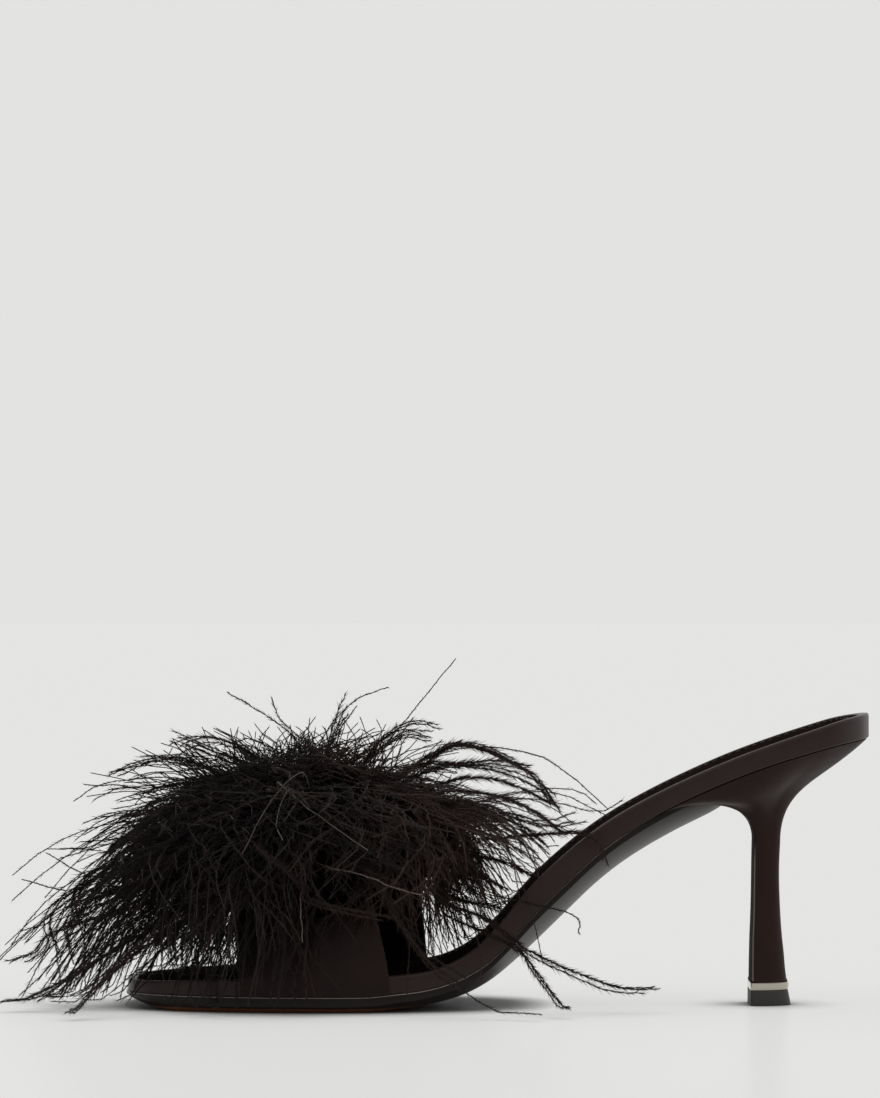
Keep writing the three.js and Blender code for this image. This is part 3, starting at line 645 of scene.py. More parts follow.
@dataclass(frozen=True)
class PaintedSole(Finish):
    """Sole leather with edge and waist painted dark and burnished glossy, its tread left tan and scuffed."""

    paint: str = "#150e0b"
    # Painted highlight: the pale grey given to the ledge's faces that look up
    rim: str = "#aba29c"
    tan: str = "#5e3520"
    tan_light: str = "#79492c"
    paint_line_mm: float = 1.2
    line_wander_mm: float = 0.3
    tread_end_mm: float = 44.0
    fibre_mm: tuple[float, float, float] = (5.0, 0.4, 2.0)

    def surface(self, tree: NodeTree, place: NodeSocket) -> Node:
        """Adds the sole's nodes.

        Args:
            tree: The material's tree.
            place: Object coordinates.

        Returns:
            The shader node.
        """
        axes = add(tree, "ShaderNodeSeparateXYZ", {"Vector": place}).outputs
        wander = maths(tree, "MULTIPLY_ADD", noise(tree, place, 6, 2.0), self.line_wander_mm * MM, axes["Z"])
        line, end = self.paint_line_mm, self.tread_end_mm
        low = ramp(tree, wander, (line + self.line_wander_mm) * MM, line * MM)
        bare = maths(tree, "MULTIPLY", low, ramp(tree, axes["X"], (end + 2) * MM, end * MM))
        # Leather fibres show as streaks along the sole
        fibre = streaks(tree, place, self.fibre_mm, 3.0)
        # Painted highlight: where the ledge that the upper is set back from faces up, it is coloured paler
        # than the edge
        painted = blend(tree, ramp(tree, facing(tree, "Z"), 0.45, 0.8), self.paint, self.rim)
        return add(tree, "ShaderNodeBsdfPrincipled", {
            "Base Color": blend(tree, bare, painted, blend(tree, fibre, self.tan, self.tan_light)),
            "Roughness": ramp(tree, bare, 0.0, 1.0, 0.4, 0.62), "Normal": relief(tree, fibre, 0.012, 0.6),
            "IOR": 1.5, "Specular IOR Level": 0.2, "Coat Weight": 0.08, "Coat Roughness": 0.1})


@dataclass(frozen=True)
class PolishedSteel(Finish):
    """Polished steel plate, with the faint lines that the buffing wheel leaves round it."""

    colour: str = "#b5b0a2"
    roughness: float = 0.09
    lines_mm: tuple[float, float, float] = (8.0, 8.0, 0.25)

    def surface(self, tree: NodeTree, place: NodeSocket) -> Node:
        """Adds the steel's nodes.

        Args:
            tree: The material's tree.
            place: Object coordinates.

        Returns:
            The shader node.
        """
        buff = streaks(tree, place, self.lines_mm, 2.0)
        return add(tree, "ShaderNodeBsdfPrincipled", {
            "Base Color": linear(self.colour), "Metallic": 1.0,
            "Roughness": ramp(tree, buff, 0.0, 1.0, self.roughness - 0.05, self.roughness + 0.08),
            "Normal": relief(tree, buff, 0.004, 0.5)})


@dataclass(frozen=True)
class HeelRubber(Finish):
    """Moulded hard rubber: matt, with a fine speckle and a little dust."""

    dark: str = "#1b1a19"
    dusty: str = "#302e2c"
    roughness: float = 0.66
    speckle_mm: float = 0.7

    def surface(self, tree: NodeTree, place: NodeSocket) -> Node:
        """Adds the rubber's nodes.

        Args:
            tree: The material's tree.
            place: Object coordinates.

        Returns:
            The shader node.
        """
        speckle = noise(tree, place, self.speckle_mm, 3.0)
        return add(tree, "ShaderNodeBsdfPrincipled", {
            "Base Color": blend(tree, speckle, self.dark, self.dusty), "Roughness": self.roughness,
            "Normal": relief(tree, speckle, 0.05, 0.5), "IOR": 1.52})


@dataclass(frozen=True)
class OstrichFeather(Finish):
    """Dyed ostrich plume: soft, nearly matt, from black to brown by each strand's tone, which holds both
    uneven dye and painted light.
    """

    deep: str = "#0b0807"
    light: str = "#3a2822"
    down: str = "#6b5c58"  # tint of the sheen
    patch_mm: float = 14.0  # the dye takes unevenly
    roughness: float = 0.7
    sheen: float = 0.1
    specular: float = 0.2

    def surface(self, tree: NodeTree, place: NodeSocket) -> Node:
        """Adds the feather's nodes.

        Args:
            tree: The material's tree.
            place: Object coordinates.

        Returns:
            The shader node.
        """
        # The tone is partly the dye's uneven take and partly painted light on the strands towards the heel
        tone = add(tree, "ShaderNodeAttribute", attribute_name="tone", attribute_type="GEOMETRY")
        share = maths(tree, "MULTIPLY", tone.outputs["Fac"], noise(tree, place, self.patch_mm, 2.0))
        return add(tree, "ShaderNodeBsdfPrincipled", {
            "Base Color": blend(tree, share, self.deep, self.light), "Roughness": self.roughness,
            "IOR": 1.54, "Specular IOR Level": self.specular, "Sheen Weight": self.sheen,
            "Sheen Roughness": 0.4, "Sheen Tint": linear(self.down)})


@dataclass(frozen=True)
class WaxedThread(Finish):
    """Waxed polyester thread, a little lighter than the leather it is sewn into."""

    colour: str = "#221b19"
    twist_mm: float = 1.2

    def surface(self, tree: NodeTree, place: NodeSocket) -> Node:
        """Adds the thread's nodes.

        Args:
            tree: The material's tree.
            place: Object coordinates.

        Returns:
            The shader node.
        """
        twist = add(tree, "ShaderNodeTexWave", {
            "Vector": place, "Scale": 1 / (self.twist_mm * MM), "Distortion": 1.5},
            bands_direction="DIAGONAL")
        return add(tree, "ShaderNodeBsdfPrincipled", {
            "Base Color": linear(self.colour), "Roughness": 0.5,
            "Normal": relief(tree, twist.outputs["Fac"], 0.03, 0.6), "Sheen Weight": 0.2})


@dataclass(frozen=True)
class FloorPaper(Finish):
    """White paper on a light table: bright and mirroring the shoe very faintly; its glow is darkened close
    under the shoe as a painted contact shadow.
    """

    colour: str = "#e8e8e6"
    glow: str = "#e3e3e1"
    mirror: float = 0.2
    light_table: float = 0.7  # share of its light that comes through it from below
    contact_mm: float = 19.0  # how near a piece must be to darken the glow as a painted contact shadow

    def surface(self, tree: NodeTree, place: NodeSocket) -> Node:
        """Adds the paper's nodes.

        Args:
            tree: The material's tree.
            place: Object coordinates, which it doesn't use.

        Returns:
            The shader node.
        """
        matt = add(tree, "ShaderNodeBsdfDiffuse", {"Color": linear(self.colour)})
        gloss = add(tree, "ShaderNodeBsdfGlossy", {"Color": (1, 1, 1, 1), "Roughness": 0.2})
        paper = add(tree, "ShaderNodeMixShader", {0: self.mirror, 1: matt.outputs[0], 2: gloss.outputs[0]})
        # Painted contact shadow: the glow is darkened by ambient occlusion close under the shoe
        painted_contact_shadow = add(tree, "ShaderNodeAmbientOcclusion", {"Distance": self.contact_mm * MM}, samples=8)
        light = add(tree, "ShaderNodeEmission", {
            "Color": linear(self.glow), "Strength": ramp(tree, painted_contact_shadow.outputs["AO"], 0.52, 0.98)})
        return add(tree, "ShaderNodeMixShader", {
            0: self.light_table, 1: paper.outputs[0], 2: light.outputs[0]})


# Pieces


def dress(piece: Object, material: Material, slot: str, *nodes: str) -> None:
    """Gives a piece its finish, hangs it on the body and hides the CAD nodes that it stands for.

    Args:
        piece: The piece.
        material: Its finish.
        slot: The record's material slot; not used.
        *nodes: CAD nodes that it stands for.
    """
    piece.data.materials.clear()
    piece.data.materials.append(material)
    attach(piece, BODY)
    if nodes:
        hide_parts(*nodes)
    log.info("%s: %d triangles", piece.name, sum(len(face.vertices) - 2 for face in piece.data.polygons))


@dataclass
class Stitching:
    """Geometry Nodes that lay a row of stitches along a line."""

    pitch_mm: float = 2.6
    length_mm: float = 1.9
    width_mm: float = 0.34

    def build(self) -> NodeTree:
        """Builds the tree.

        Returns:
            The tree, with inputs Pitch, Stitch Length, Stitch Width and Material.
        """
        tree, given = start_tree("stitches", {
            "Pitch": "Float", "Stitch Length": "Float", "Stitch Width": "Float", "Material": "Material"})
        line = add(tree, "GeometryNodeMeshToCurve", {"Mesh": given["Geometry"]})
        spots = add(tree, "GeometryNodeCurveToPoints", {"Curve": line.outputs[0], "Length": given["Pitch"]},
                    mode="LENGTH")
        bead = add(tree, "GeometryNodeMeshIcoSphere", {"Radius": 0.5, "Subdivisions": 1})
        along = add(tree, "FunctionNodeAlignRotationToVector", {"Vector": spots.outputs["Tangent"]},
                    axis="X")
        size = add(tree, "ShaderNodeCombineXYZ", {
            "X": given["Stitch Length"], "Y": given["Stitch Width"], "Z": given["Stitch Width"]})
        real = lay_out(tree, spots, bead.outputs["Mesh"], along, size)
        smooth = add(tree, "GeometryNodeSetShadeSmooth", {"Geometry": real})
        end_tree(tree, smooth.outputs[0], given["Material"])
        return tree

    def sew(self, name: str, path: np.ndarray, material: Material) -> Object:
        """Lays the stitches along a path that runs back to its start.

        Args:
            name: The name of the piece.
            path: Points in millimetres.
            material: The thread's finish.

        Returns:
            The stitches as one plain mesh.
        """
        count = len(path)
        edges = [(i, (i + 1) % count) for i in range(count)]
        return grown(name, self.build(), path, edges, {}, {
            "Pitch": self.pitch_mm * MM, "Stitch Length": self.length_mm * MM,
            "Stitch Width": self.width_mm * MM, "Material": material})


def grown(name: str, tree: NodeTree, points: np.ndarray, edges: Sequence[tuple[int, int]],
          attributes: dict[str, np.ndarray], inputs: dict[str, Any]) -> Object:
    """Runs a Geometry Nodes tree on lines and keeps the result as a plain mesh.

    Args:
        name: The name of the piece.
        tree: The tree.
        points: The lines' points, in millimetres.
        edges: Pairs of points that the lines join.
        attributes: Values on the points, by name.
        inputs: Values of the tree's inputs, by name.

    Returns:
        The piece, with no modifier left on it.
    """
    lines = bpy.data.meshes.new(name + "_lines")
    lines.from_pydata((points * MM).tolist(), edges, [])
    for key, values in attributes.items():
        vector = values.ndim == 2
        layer = lines.attributes.new(key, "FLOAT_VECTOR" if vector else "FLOAT", "POINT")
        layer.data.foreach_set("vector" if vector else "value", values.astype(np.float32).ravel())
    piece = new_object(name, lines)
    modifier = piece.modifiers.new("grow", "NODES")
    modifier.node_group = tree
    sockets = {item.name: item.identifier for item in tree.interface.items_tree
               if item.item_type == "SOCKET" and item.in_out == "INPUT"}
    for key, value in inputs.items():
        modifier[sockets[key]] = value
    bake(piece, modifier)
    return piece


@dataclass
class Sole:
    """Outsole, footbed and insole, with the insole's stitching."""

    gap: float = 0.3
    rim_width: float = 2.9
    rim_round: float = 1.2
    recess: float = 1.7
    cup_depth: float = 1.3
    insole_thickness: float = 1.2
    edge_round: float = 0.4
    welt: float = 0.5  # how far the outsole's edge stands out under the forefoot
    welt_end: float = 0.36  # share of the length where it begins to draw in
    welt_fade: float = 0.1
    outsole_gap: float = 0.08
    sock_gap: float = 0.12
    sock_lift: float = 0.06
    thread_sink: float = 0.04
    stitch_inset: float = 3.2
    stitching: Stitching = field(default_factory=Stitching)

    def build(self, paint: Material, cover: Material, sock: Material, thread: Material) -> None:
        """Builds and dresses every piece of the sole.

        Args:
            paint: Finish of the outsole.
            cover: Finish of the footbed.
            sock: Finish of the insole.
            thread: Finish of the stitches.
        """
        dress(self.outsole(), paint, "outsole_leather", "outsole")
        dress(self.footbed(), cover, "cover_leather", "footbed")
        dress(self.insole(), sock, "sock_leather", "insole")
        dress(self.stitches(thread), thread, "sock_leather")

    def outsole(self) -> Object:
        """Builds the outsole: flat tread, upright edge, rounded waist.

        Returns:
            The new object.
        """
        def top(drop: float) -> Callable:
            """Height of the upper face, less a drop."""
            return lambda x: LAST.seam_z(x) - self.outsole_gap - drop

        def bottom(share: float) -> Callable:
            """Height of the underside at a share of the way to the middle."""
            def height(x: np.ndarray) -> np.ndarray:
                """Height at places along the shoe, rounded up towards the edge."""
                deep = LAST.outsole_thickness * SIDE.read("depth", LAST.to_share(x))
                edge = SIDE.read("edge", LAST.to_share(x))
                reach = SIDE.read("round", LAST.to_share(x))
                curl = np.maximum(1 - share / reach, 0) ** 2.2
                return np.maximum(LAST.seam_z(x) - deep * (1 - (1 - edge) * curl), 0)
            return height

        def proud(x: np.ndarray) -> np.ndarray:
            """How far the edge stands out, fading behind the forefoot."""
            fade = np.clip((LAST.to_share(x) - self.welt_end) / self.welt_fade, 0, 1)
            return self.welt * (1 - fade * fade * (3 - 2 * fade))

        r = self.edge_round
        stops = [(0, 1, top(0)), (0, 0.5, top(0)), (2 * r, 0, top(0))]
        stops += [(inset, 0, top(drop)) for inset, drop in quarter((r, 0), (0, r), 4, (0, 0))]
        shares = (0, 0.002, 0.006, 0.012, 0.02, 0.032, 0.046, 0.064, 0.082, 0.1, 0.14, 0.2, 0.28, 0.36, 0.46,
                  0.58, 0.72, 0.86, 1)
        stops += [(0, share, bottom(share)) for share in shares]
        head = [row for row in OUTLINE.rows if row[0] < OUTSOLE_END.rows[0][0]]
        return slab("outsole_painted", LAST.outline([*head, *OUTSOLE_END.rows]), stops, proud)

    def bed(self, share: float, lift: float) -> Callable:
        """Height of the hollow bed, share 0 at its edge and 1 in the middle."""
        sink = self.cup_depth * math.sin(share * math.pi / 2)
        return lambda x: LAST.rim_z(x) - self.recess - sink + lift

    def footbed(self) -> Object:
        """Builds the footbed: wrapped board with an upright side, a soft rim and a shallow bed.

        Returns:
            The new object.
        """
        def seam(lift: float) -> Callable:
            """Height of the seam, and a lift."""
            return lambda x: LAST.seam_z(x) + lift

        def rim(drop: float) -> Callable:
            """Height of the rim, less a drop."""
            return lambda x: LAST.rim_z(x) - drop

        r, w = self.rim_round, self.rim_width
        stops = [(0, 1, seam(0)), (3, 0, seam(0))]
        stops += [(inset, 0, seam(lift)) for inset, lift in quarter((0.5, 0), (0, 0.5), 4, (0, 0))]
        stops += [(0, 0, lambda x: (LAST.seam_z(x) + LAST.rim_z(x)) / 2)]
        stops += [(inset, 0, rim(drop)) for inset, drop in quarter((0, r), (r, 0), 6, (0, 0))]
        stops += [(inset, 0, rim(drop))
                  for inset, drop in quarter((w - 1, 0.03), (w - 0.2, 0.9), 5, (w - 0.3, 0))]
        stops += [(w, 0, rim(self.recess)), (w, 0.2, self.bed(0.2, 0)), (w, 0.5, self.bed(0.5, 0)),
                  (0, 1, self.bed(1, 0))]
        return slab("footbed_wrapped", LAST.sole_pairs, stops)

    def insole(self) -> Object:
        """Builds the insole: a thin padded sock with a soft edge.

        Returns:
            The new object.
        """
        edge = self.rim_width + self.sock_gap
        low, high = self.sock_lift, self.gap + self.insole_thickness
        stops = [(0, 1, self.bed(1, low)), (edge, 0.4, self.bed(0.4, low)), (edge, 0, self.bed(0, low))]
        stops += [(edge + inset, 0, self.bed(0, high - drop))
                  for inset, drop in quarter((0, 0.7), (0.9, 0), 5, (0, 0))]
        shares = (0.05, 0.1, 0.16, 0.24, 0.34, 0.46, 0.6, 0.8)
        stops += [(edge, share, self.bed(share, high)) for share in shares]
        stops += [(0, 1, self.bed(1, high))]
        return slab("insole_sock", LAST.sole_pairs, stops)

    def stitches(self, thread: Material) -> Object:
        """Sews the sock's edge.

        Args:
            thread: Finish of the stitches.

        Returns:
            The stitches.
        """
        edge, middle = LAST.ring(LAST.sole_pairs)
        way = middle - edge
        length = np.linalg.norm(way, axis=1)
        t = (self.rim_width + self.stitch_inset) / length
        flat = edge + way * t[:, None]
        share = self.stitch_inset / length
        sink = self.cup_depth * np.sin(share * math.pi / 2)
        top = self.gap + self.insole_thickness - self.thread_sink
        z = LAST.rim_z(flat[:, 0]) - self.recess - sink + top
        return self.stitching.sew("insole_stitches", np.column_stack([flat, z]), thread)


# Troughs of the strap: place round the arch, place across, length round the arch and depth
CREASES = ((0.12, 0.3, 0.16, 0.8), (0.2, 0.72, 0.2, 1.0), (0.84, 0.35, 0.18, 0.9), (0.9, 0.78, 0.14, 0.7),
           (0.06, 0.62, 0.12, 0.5))


@dataclass
class VampStrap:
    """The wide strap over the forefoot, its edges turned and glued, without stitches."""

    arc_steps: int = 110
    depth_steps: int = 26
    edge_steps: int = 8
    edge_length: float = 0.9
    crease_depth: float = 0.35
    crease_width: float = 0.045
    crease_slant: float = 0.8

    def build(self, leather: Material) -> None:
        """Builds and dresses the strap."""
        dress(self.strap(), leather, "strap_leather", "upper")

    def creases(self, depth: np.ndarray, arc: float) -> np.ndarray:
        """Soft troughs of the leather, listed one by one, where the strap turns down to the sole.

        Args:
            depth: From 0 at the front edge to 1 at the rear edge.
            arc: Place round the arch.

        Returns:
            How far the outer face sinks, in millimetres.
        """
        sunk = np.zeros_like(depth)
        for at, near, wide, deep in CREASES:
            off = depth - near - self.crease_slant * (arc - at)
            fade = np.exp(-((arc - at) / (wide * 0.5)) ** 2)
            sunk += deep * np.exp(-(off / self.crease_width) ** 2) * fade
        return self.crease_depth * sunk

    def strap(self) -> Object:
        """Builds the strap as one hollow arch with rounded edges.

        Returns:
            The new object.
        """
        wall = LAST.strap_wall
        depth = np.linspace(0, 1, self.depth_steps + 1)
        turn = np.linspace(math.pi / 2, -math.pi / 2, self.edge_steps + 1)[1:-1]
        slices = []
        for arc in np.linspace(0, 1, self.arc_steps + 1):
            front = LAST.to_x(STRAP_EDGES.read("front", arc)) + self.edge_length
            rear = LAST.to_x(STRAP_EDGES.read("rear", arc)) - self.edge_length
            x = front + (rear - front) * depth
            out = LAST.arch(x, arc, wall - self.creases(depth, arc))
            rear_x = rear + self.edge_length * np.cos(turn)
            rear_edge = LAST.arch(rear_x, arc, wall / 2 + wall / 2 * np.sin(turn))
            back = LAST.arch(x[::-1], arc, np.zeros_like(x))
            front_x = front - self.edge_length * np.cos(turn)
            front_edge = LAST.arch(front_x, arc, wall / 2 - wall / 2 * np.sin(turn))
            slices.append(np.vstack([out, rear_edge, back, front_edge]))
        return loft("vamp_strap", slices, capped=True)


@dataclass
class Heel:
    """The wrapped heel with its steel band and rubber top piece."""

    axis: float = 0.8593
    wing_tip: float = 0.709
    overhang: float = 0.6
    seam_gap: float = 0.35
    depth: float = 8.2
    width: float = 13.0
    foot_flare: float = 1.4
    band_height: float = 2.2
    top_piece_height: float = 4.6
    top_piece_flare: float = 0.9
    band_gap: float = 0.05
    band_bulge: float = 0.26
    band_edge: float = 0.14
    top_piece_edge: float = 0.25
    corner_share: float = 0.93  # half width of the flat face as a share of the shaft's
    corner_turn: float = 10.0  # the corner is round over a tenth of the way round a side
    corner_power: float = 0.7
    side_power: float = 0.62
    back_power: float = 1.15
    seat_power: float = 1.9
    wing_lean: float = 0.12  # how far the wings lean in before they curve to the shaft
    wing_drop: float = 0.6
    slope: tuple[float, float] = (0.53, 0.42)  # how far in and down the back leads at first
    seam_at: float = 0.4  # the turned edge of the cover lies this far behind the flat face
    seam_radius: float = 0.22
    shaft_top: float = 0.603
    wing_edge: float = 0.748
    breast_roof: float = 0.215
    front_steps: int = 16
    side_steps: int = 54
    flare_steps: int = 40
    shaft_steps: int = 40

    @property
    def x(self) -> float:
        """Place of the heel's axis."""
        return LAST.to_x(self.axis)

    def build(self, leather: Material, edge: Material, steel: Material, rubber: Material) -> None:
        """Builds and dresses every piece of the heel.

        Args:
            leather: Finish of the wrapped heel.
            edge: Finish of the cover's turned edge, pale partly as the raw edge's own colour and partly as a
                painted highlight.
            steel: Finish of the band.
            rubber: Finish of the top piece.
        """
        dress(self.heel(), leather, "heel_leather", "heel")
        for name, side in (("heel_seam_outer", -1), ("heel_seam_inner", 1)):
            dress(self.cover_seam(name, side), edge, "heel_leather")
        dress(self.band(), steel, "polished_steel", "heel_band")
        dress(self.top_piece(), rubber, "heel_rubber", "top_piece")

    def shaft_ring(self, front: float, back: float, half: float) -> np.ndarray:
        """A ring round the shaft: flat in front with two arrises, rounded behind.

        Args:
            front: Place of the flat face.
            back: Place of the rounded back.
            half: Half of its width.

        Returns:
            The ring's points, x and y.
        """
        corner = half * self.corner_share
        points = [(front, corner - 2 * corner * k / self.front_steps) for k in range(self.front_steps)]
        q = np.arange(self.side_steps + 1) / self.side_steps
        turn = q * math.pi / 2
        bulge = np.sin(np.minimum(q * self.corner_turn, 1) * math.pi / 2) ** self.corner_power
        y = (corner + (half - corner) * bulge) * np.cos(turn) ** self.side_power
        x = front + (back - front) * np.sin(turn) ** self.back_power
        y[-1] = 0
        points += [(x[k], -y[k]) for k in range(self.side_steps)]
        points += [(x[k], y[k]) for k in range(self.side_steps, 0, -1)]
        return np.array(points)

    def seat_ring(self) -> np.ndarray:
        """The ring of the seat under the footbed, with as many points as a shaft ring.

        Returns:
            The ring's points, x and y.
        """
        start, end = LAST.to_x(self.wing_tip), LAST.to_x(1) - self.overhang
        q = np.arange(self.side_steps + 1) / self.side_steps
        x = start + (end - start) * (1 - (1 - q) ** self.seat_power)
        outer, inner = LAST.sides(x + self.overhang * q)
        low, high = outer + self.overhang, inner - self.overhang
        low[-1] = high[-1] = 0
        points = [(start, high[0] + (low[0] - high[0]) * k / self.front_steps)
                  for k in range(self.front_steps)]
        points += [(x[k], low[k]) for k in range(self.side_steps)]
        points += [(x[k], high[k]) for k in range(self.side_steps, 0, -1)]
        return np.array(points)

    def shaft_row(self, up: float, z: float) -> np.ndarray:
        """A row of the shaft.

        Args:
            up: Share of its way up.
            z: Its height.

        Returns:
            The row's points.
        """
        front, back, half = (float(SHAFT.read(name, up)) for name in ("front", "back", "half"))
        flat = self.shaft_ring(self.x + front * self.depth, self.x + back * self.depth, half * self.width)
        return np.column_stack([flat, np.full(len(flat), z)])

    def foot_row(self, z: float, grow: float) -> np.ndarray:
        """A row of the shaft's foot, which the band and the top piece carry on.

        Args:
            z: Its height.
            grow: How much larger it is than the foot.

        Returns:
            The row's points.
        """
        _, front, back, half = SHAFT.rows[0]
        middle = self.x + (front + back) / 2 * self.depth
        deep = self.foot_flare / 2 * self.depth
        flat = self.shaft_ring(middle - deep - min(grow, 0), middle + deep + grow,
                               half * self.width + grow / 2)
        return np.column_stack([flat, np.full(len(flat), z)])

    def heel(self) -> Object:
        """Builds the heel: wide seat with two wings, a flare hollowed from every side, a slim shaft.

        Returns:
            The new object.
        """
        seat = self.seat_ring()
        top_z = LAST.seat_height * self.shaft_top
        band_top = self.top_piece_height + self.band_height
        end = self.shaft_row(1, top_z)
        start = np.column_stack([seat, LAST.seam_z(seat[:, 0]) - self.seam_gap])
        wing_x, back_x, tuck = LAST.to_x(self.wing_tip), LAST.to_x(1), LAST.ball_width / 4
        roof = np.column_stack([np.clip(seat[:, 0], wing_x + tuck / 2, back_x - tuck), np.zeros(len(seat))])
        rows = [np.column_stack([roof, LAST.seam_z(roof[:, 0]) - self.seam_gap]), start]
        s = np.clip(((seat[:, 0] - wing_x) / (back_x - wing_x) - 0.25) / 0.5, 0, 1)
        back = (s * s * (3 - 2 * s))[:, None]
        wing_z = LAST.seat_height * self.wing_edge
        upright = start + (end - start) * self.wing_lean
        upright[:, 2] = wing_z - self.wing_drop * np.maximum(start[:, 2] - wing_z, 0)
        sloping = start + (end - start) * self.slope[0]
        sloping[:, 2] = start[:, 2] + (end[:, 2] - start[:, 2]) * self.slope[1]
        leave = upright + (sloping - upright) * back
        arrive = end.copy()
        arrive[:, 0] += (self.depth / 6 * (1 - back))[:, 0]
        arrive[:, 2] += LAST.seat_height * self.breast_roof
        for t in np.linspace(0, 1, self.flare_steps + 1)[1:]:
            u = 1 - t
            rows.append(u ** 3 * start + 3 * u * u * t * leave + 3 * u * t * t * arrive + t ** 3 * end)
        for up in np.linspace(1, 0, self.shaft_steps + 1)[1:]:
            rows.append(self.shaft_row(up, band_top + (top_z - band_top) * up))
        rows[-1] = self.foot_row(band_top + 0.25, 0)
        rows.append(self.foot_row(band_top + 0.06, -0.2))
        rows.append(np.tile([self.x, 0, band_top + 0.06], (len(seat), 1)))
        return loft("heel_wrapped", rows)

    def cover_seam(self, name: str, side: int) -> Object:
        """Builds the thin turned edge of the cover that runs down the shaft behind its front corner.

        Args:
            name: The name of the piece.
            side: -1 for the outer side, 1 for the inner side.

        Returns:
            The new object.
        """
        low, high = self.top_piece_height + self.band_height, LAST.seat_height * self.shaft_top
        turn = np.linspace(0, 2 * math.pi, 9)[:-1]
        rows = []
        for up in np.linspace(0.015, 1, 50):
            ring = self.shaft_row(up, low + (high - low) * up)
            one = ring[np.sign(ring[:, 1]) == side]
            one = one[np.argsort(one[:, 0])]
            x = self.x + float(SHAFT.read("front", up)) * self.depth + self.seam_at
            y = np.interp(x, one[:, 0], one[:, 1])
            radius = self.seam_radius * min(1, 6 * (1 - up) + 0.2)  # it thins out at its top
            flat = (x + radius * np.cos(turn), y + radius * np.sin(turn))
            rows.append(np.column_stack([*flat, np.full(len(turn), ring[0, 2])]))
        return loft(name, rows, capped=True)

    def block(self, name: str, low: float, high: float, flare: float, edge: float,
              bulge: float = 0.0) -> Object:
        """Builds a low block under the shaft with eased edges.

        Args:
            name: The name of the piece.
            low: Its underside.
            high: Its top.
            flare: How much it grows towards its underside.
            edge: Size of the eased edges.
            bulge: How far its upper half stands out; it rounds in below.

        Returns:
            The new object.
        """
        centre = np.array([self.x, 0.0])
        rows = [np.tile([*centre, low], (self.front_steps + 2 * self.side_steps, 1))]
        turned = quarter((-edge, 0), (0, edge), 4, (0, 0))
        profile = [(lift, grow) for grow, lift in turned]
        profile += [(edge + (high - low - 2 * edge) * t, 0.0) for t in np.linspace(0, 1, 9)[1:-1]]
        profile += [(high - low - lift, grow) for grow, lift in reversed(turned)]
        for lift, grow in profile:
            share = lift / (high - low)
            grow += flare * (1 - share) + bulge * math.sin(math.pi / 2 * min(share / 0.55, 1))
            rows.append(self.foot_row(low + lift, grow))
        rows.append(np.tile([*centre, high], (self.front_steps + 2 * self.side_steps, 1)))
        return loft(name, rows)

    def band(self) -> Object:
        """Builds the steel band."""
        low, high = self.top_piece_height + self.band_gap, self.top_piece_height + self.band_height
        return self.block("heel_band_steel", low, high, 0.0, self.band_edge, self.band_bulge)

    def top_piece(self) -> Object:
        """Builds the rubber top piece."""
        return self.block("top_piece_rubber", 0.0, self.top_piece_height, self.top_piece_flare,
                          self.top_piece_edge)
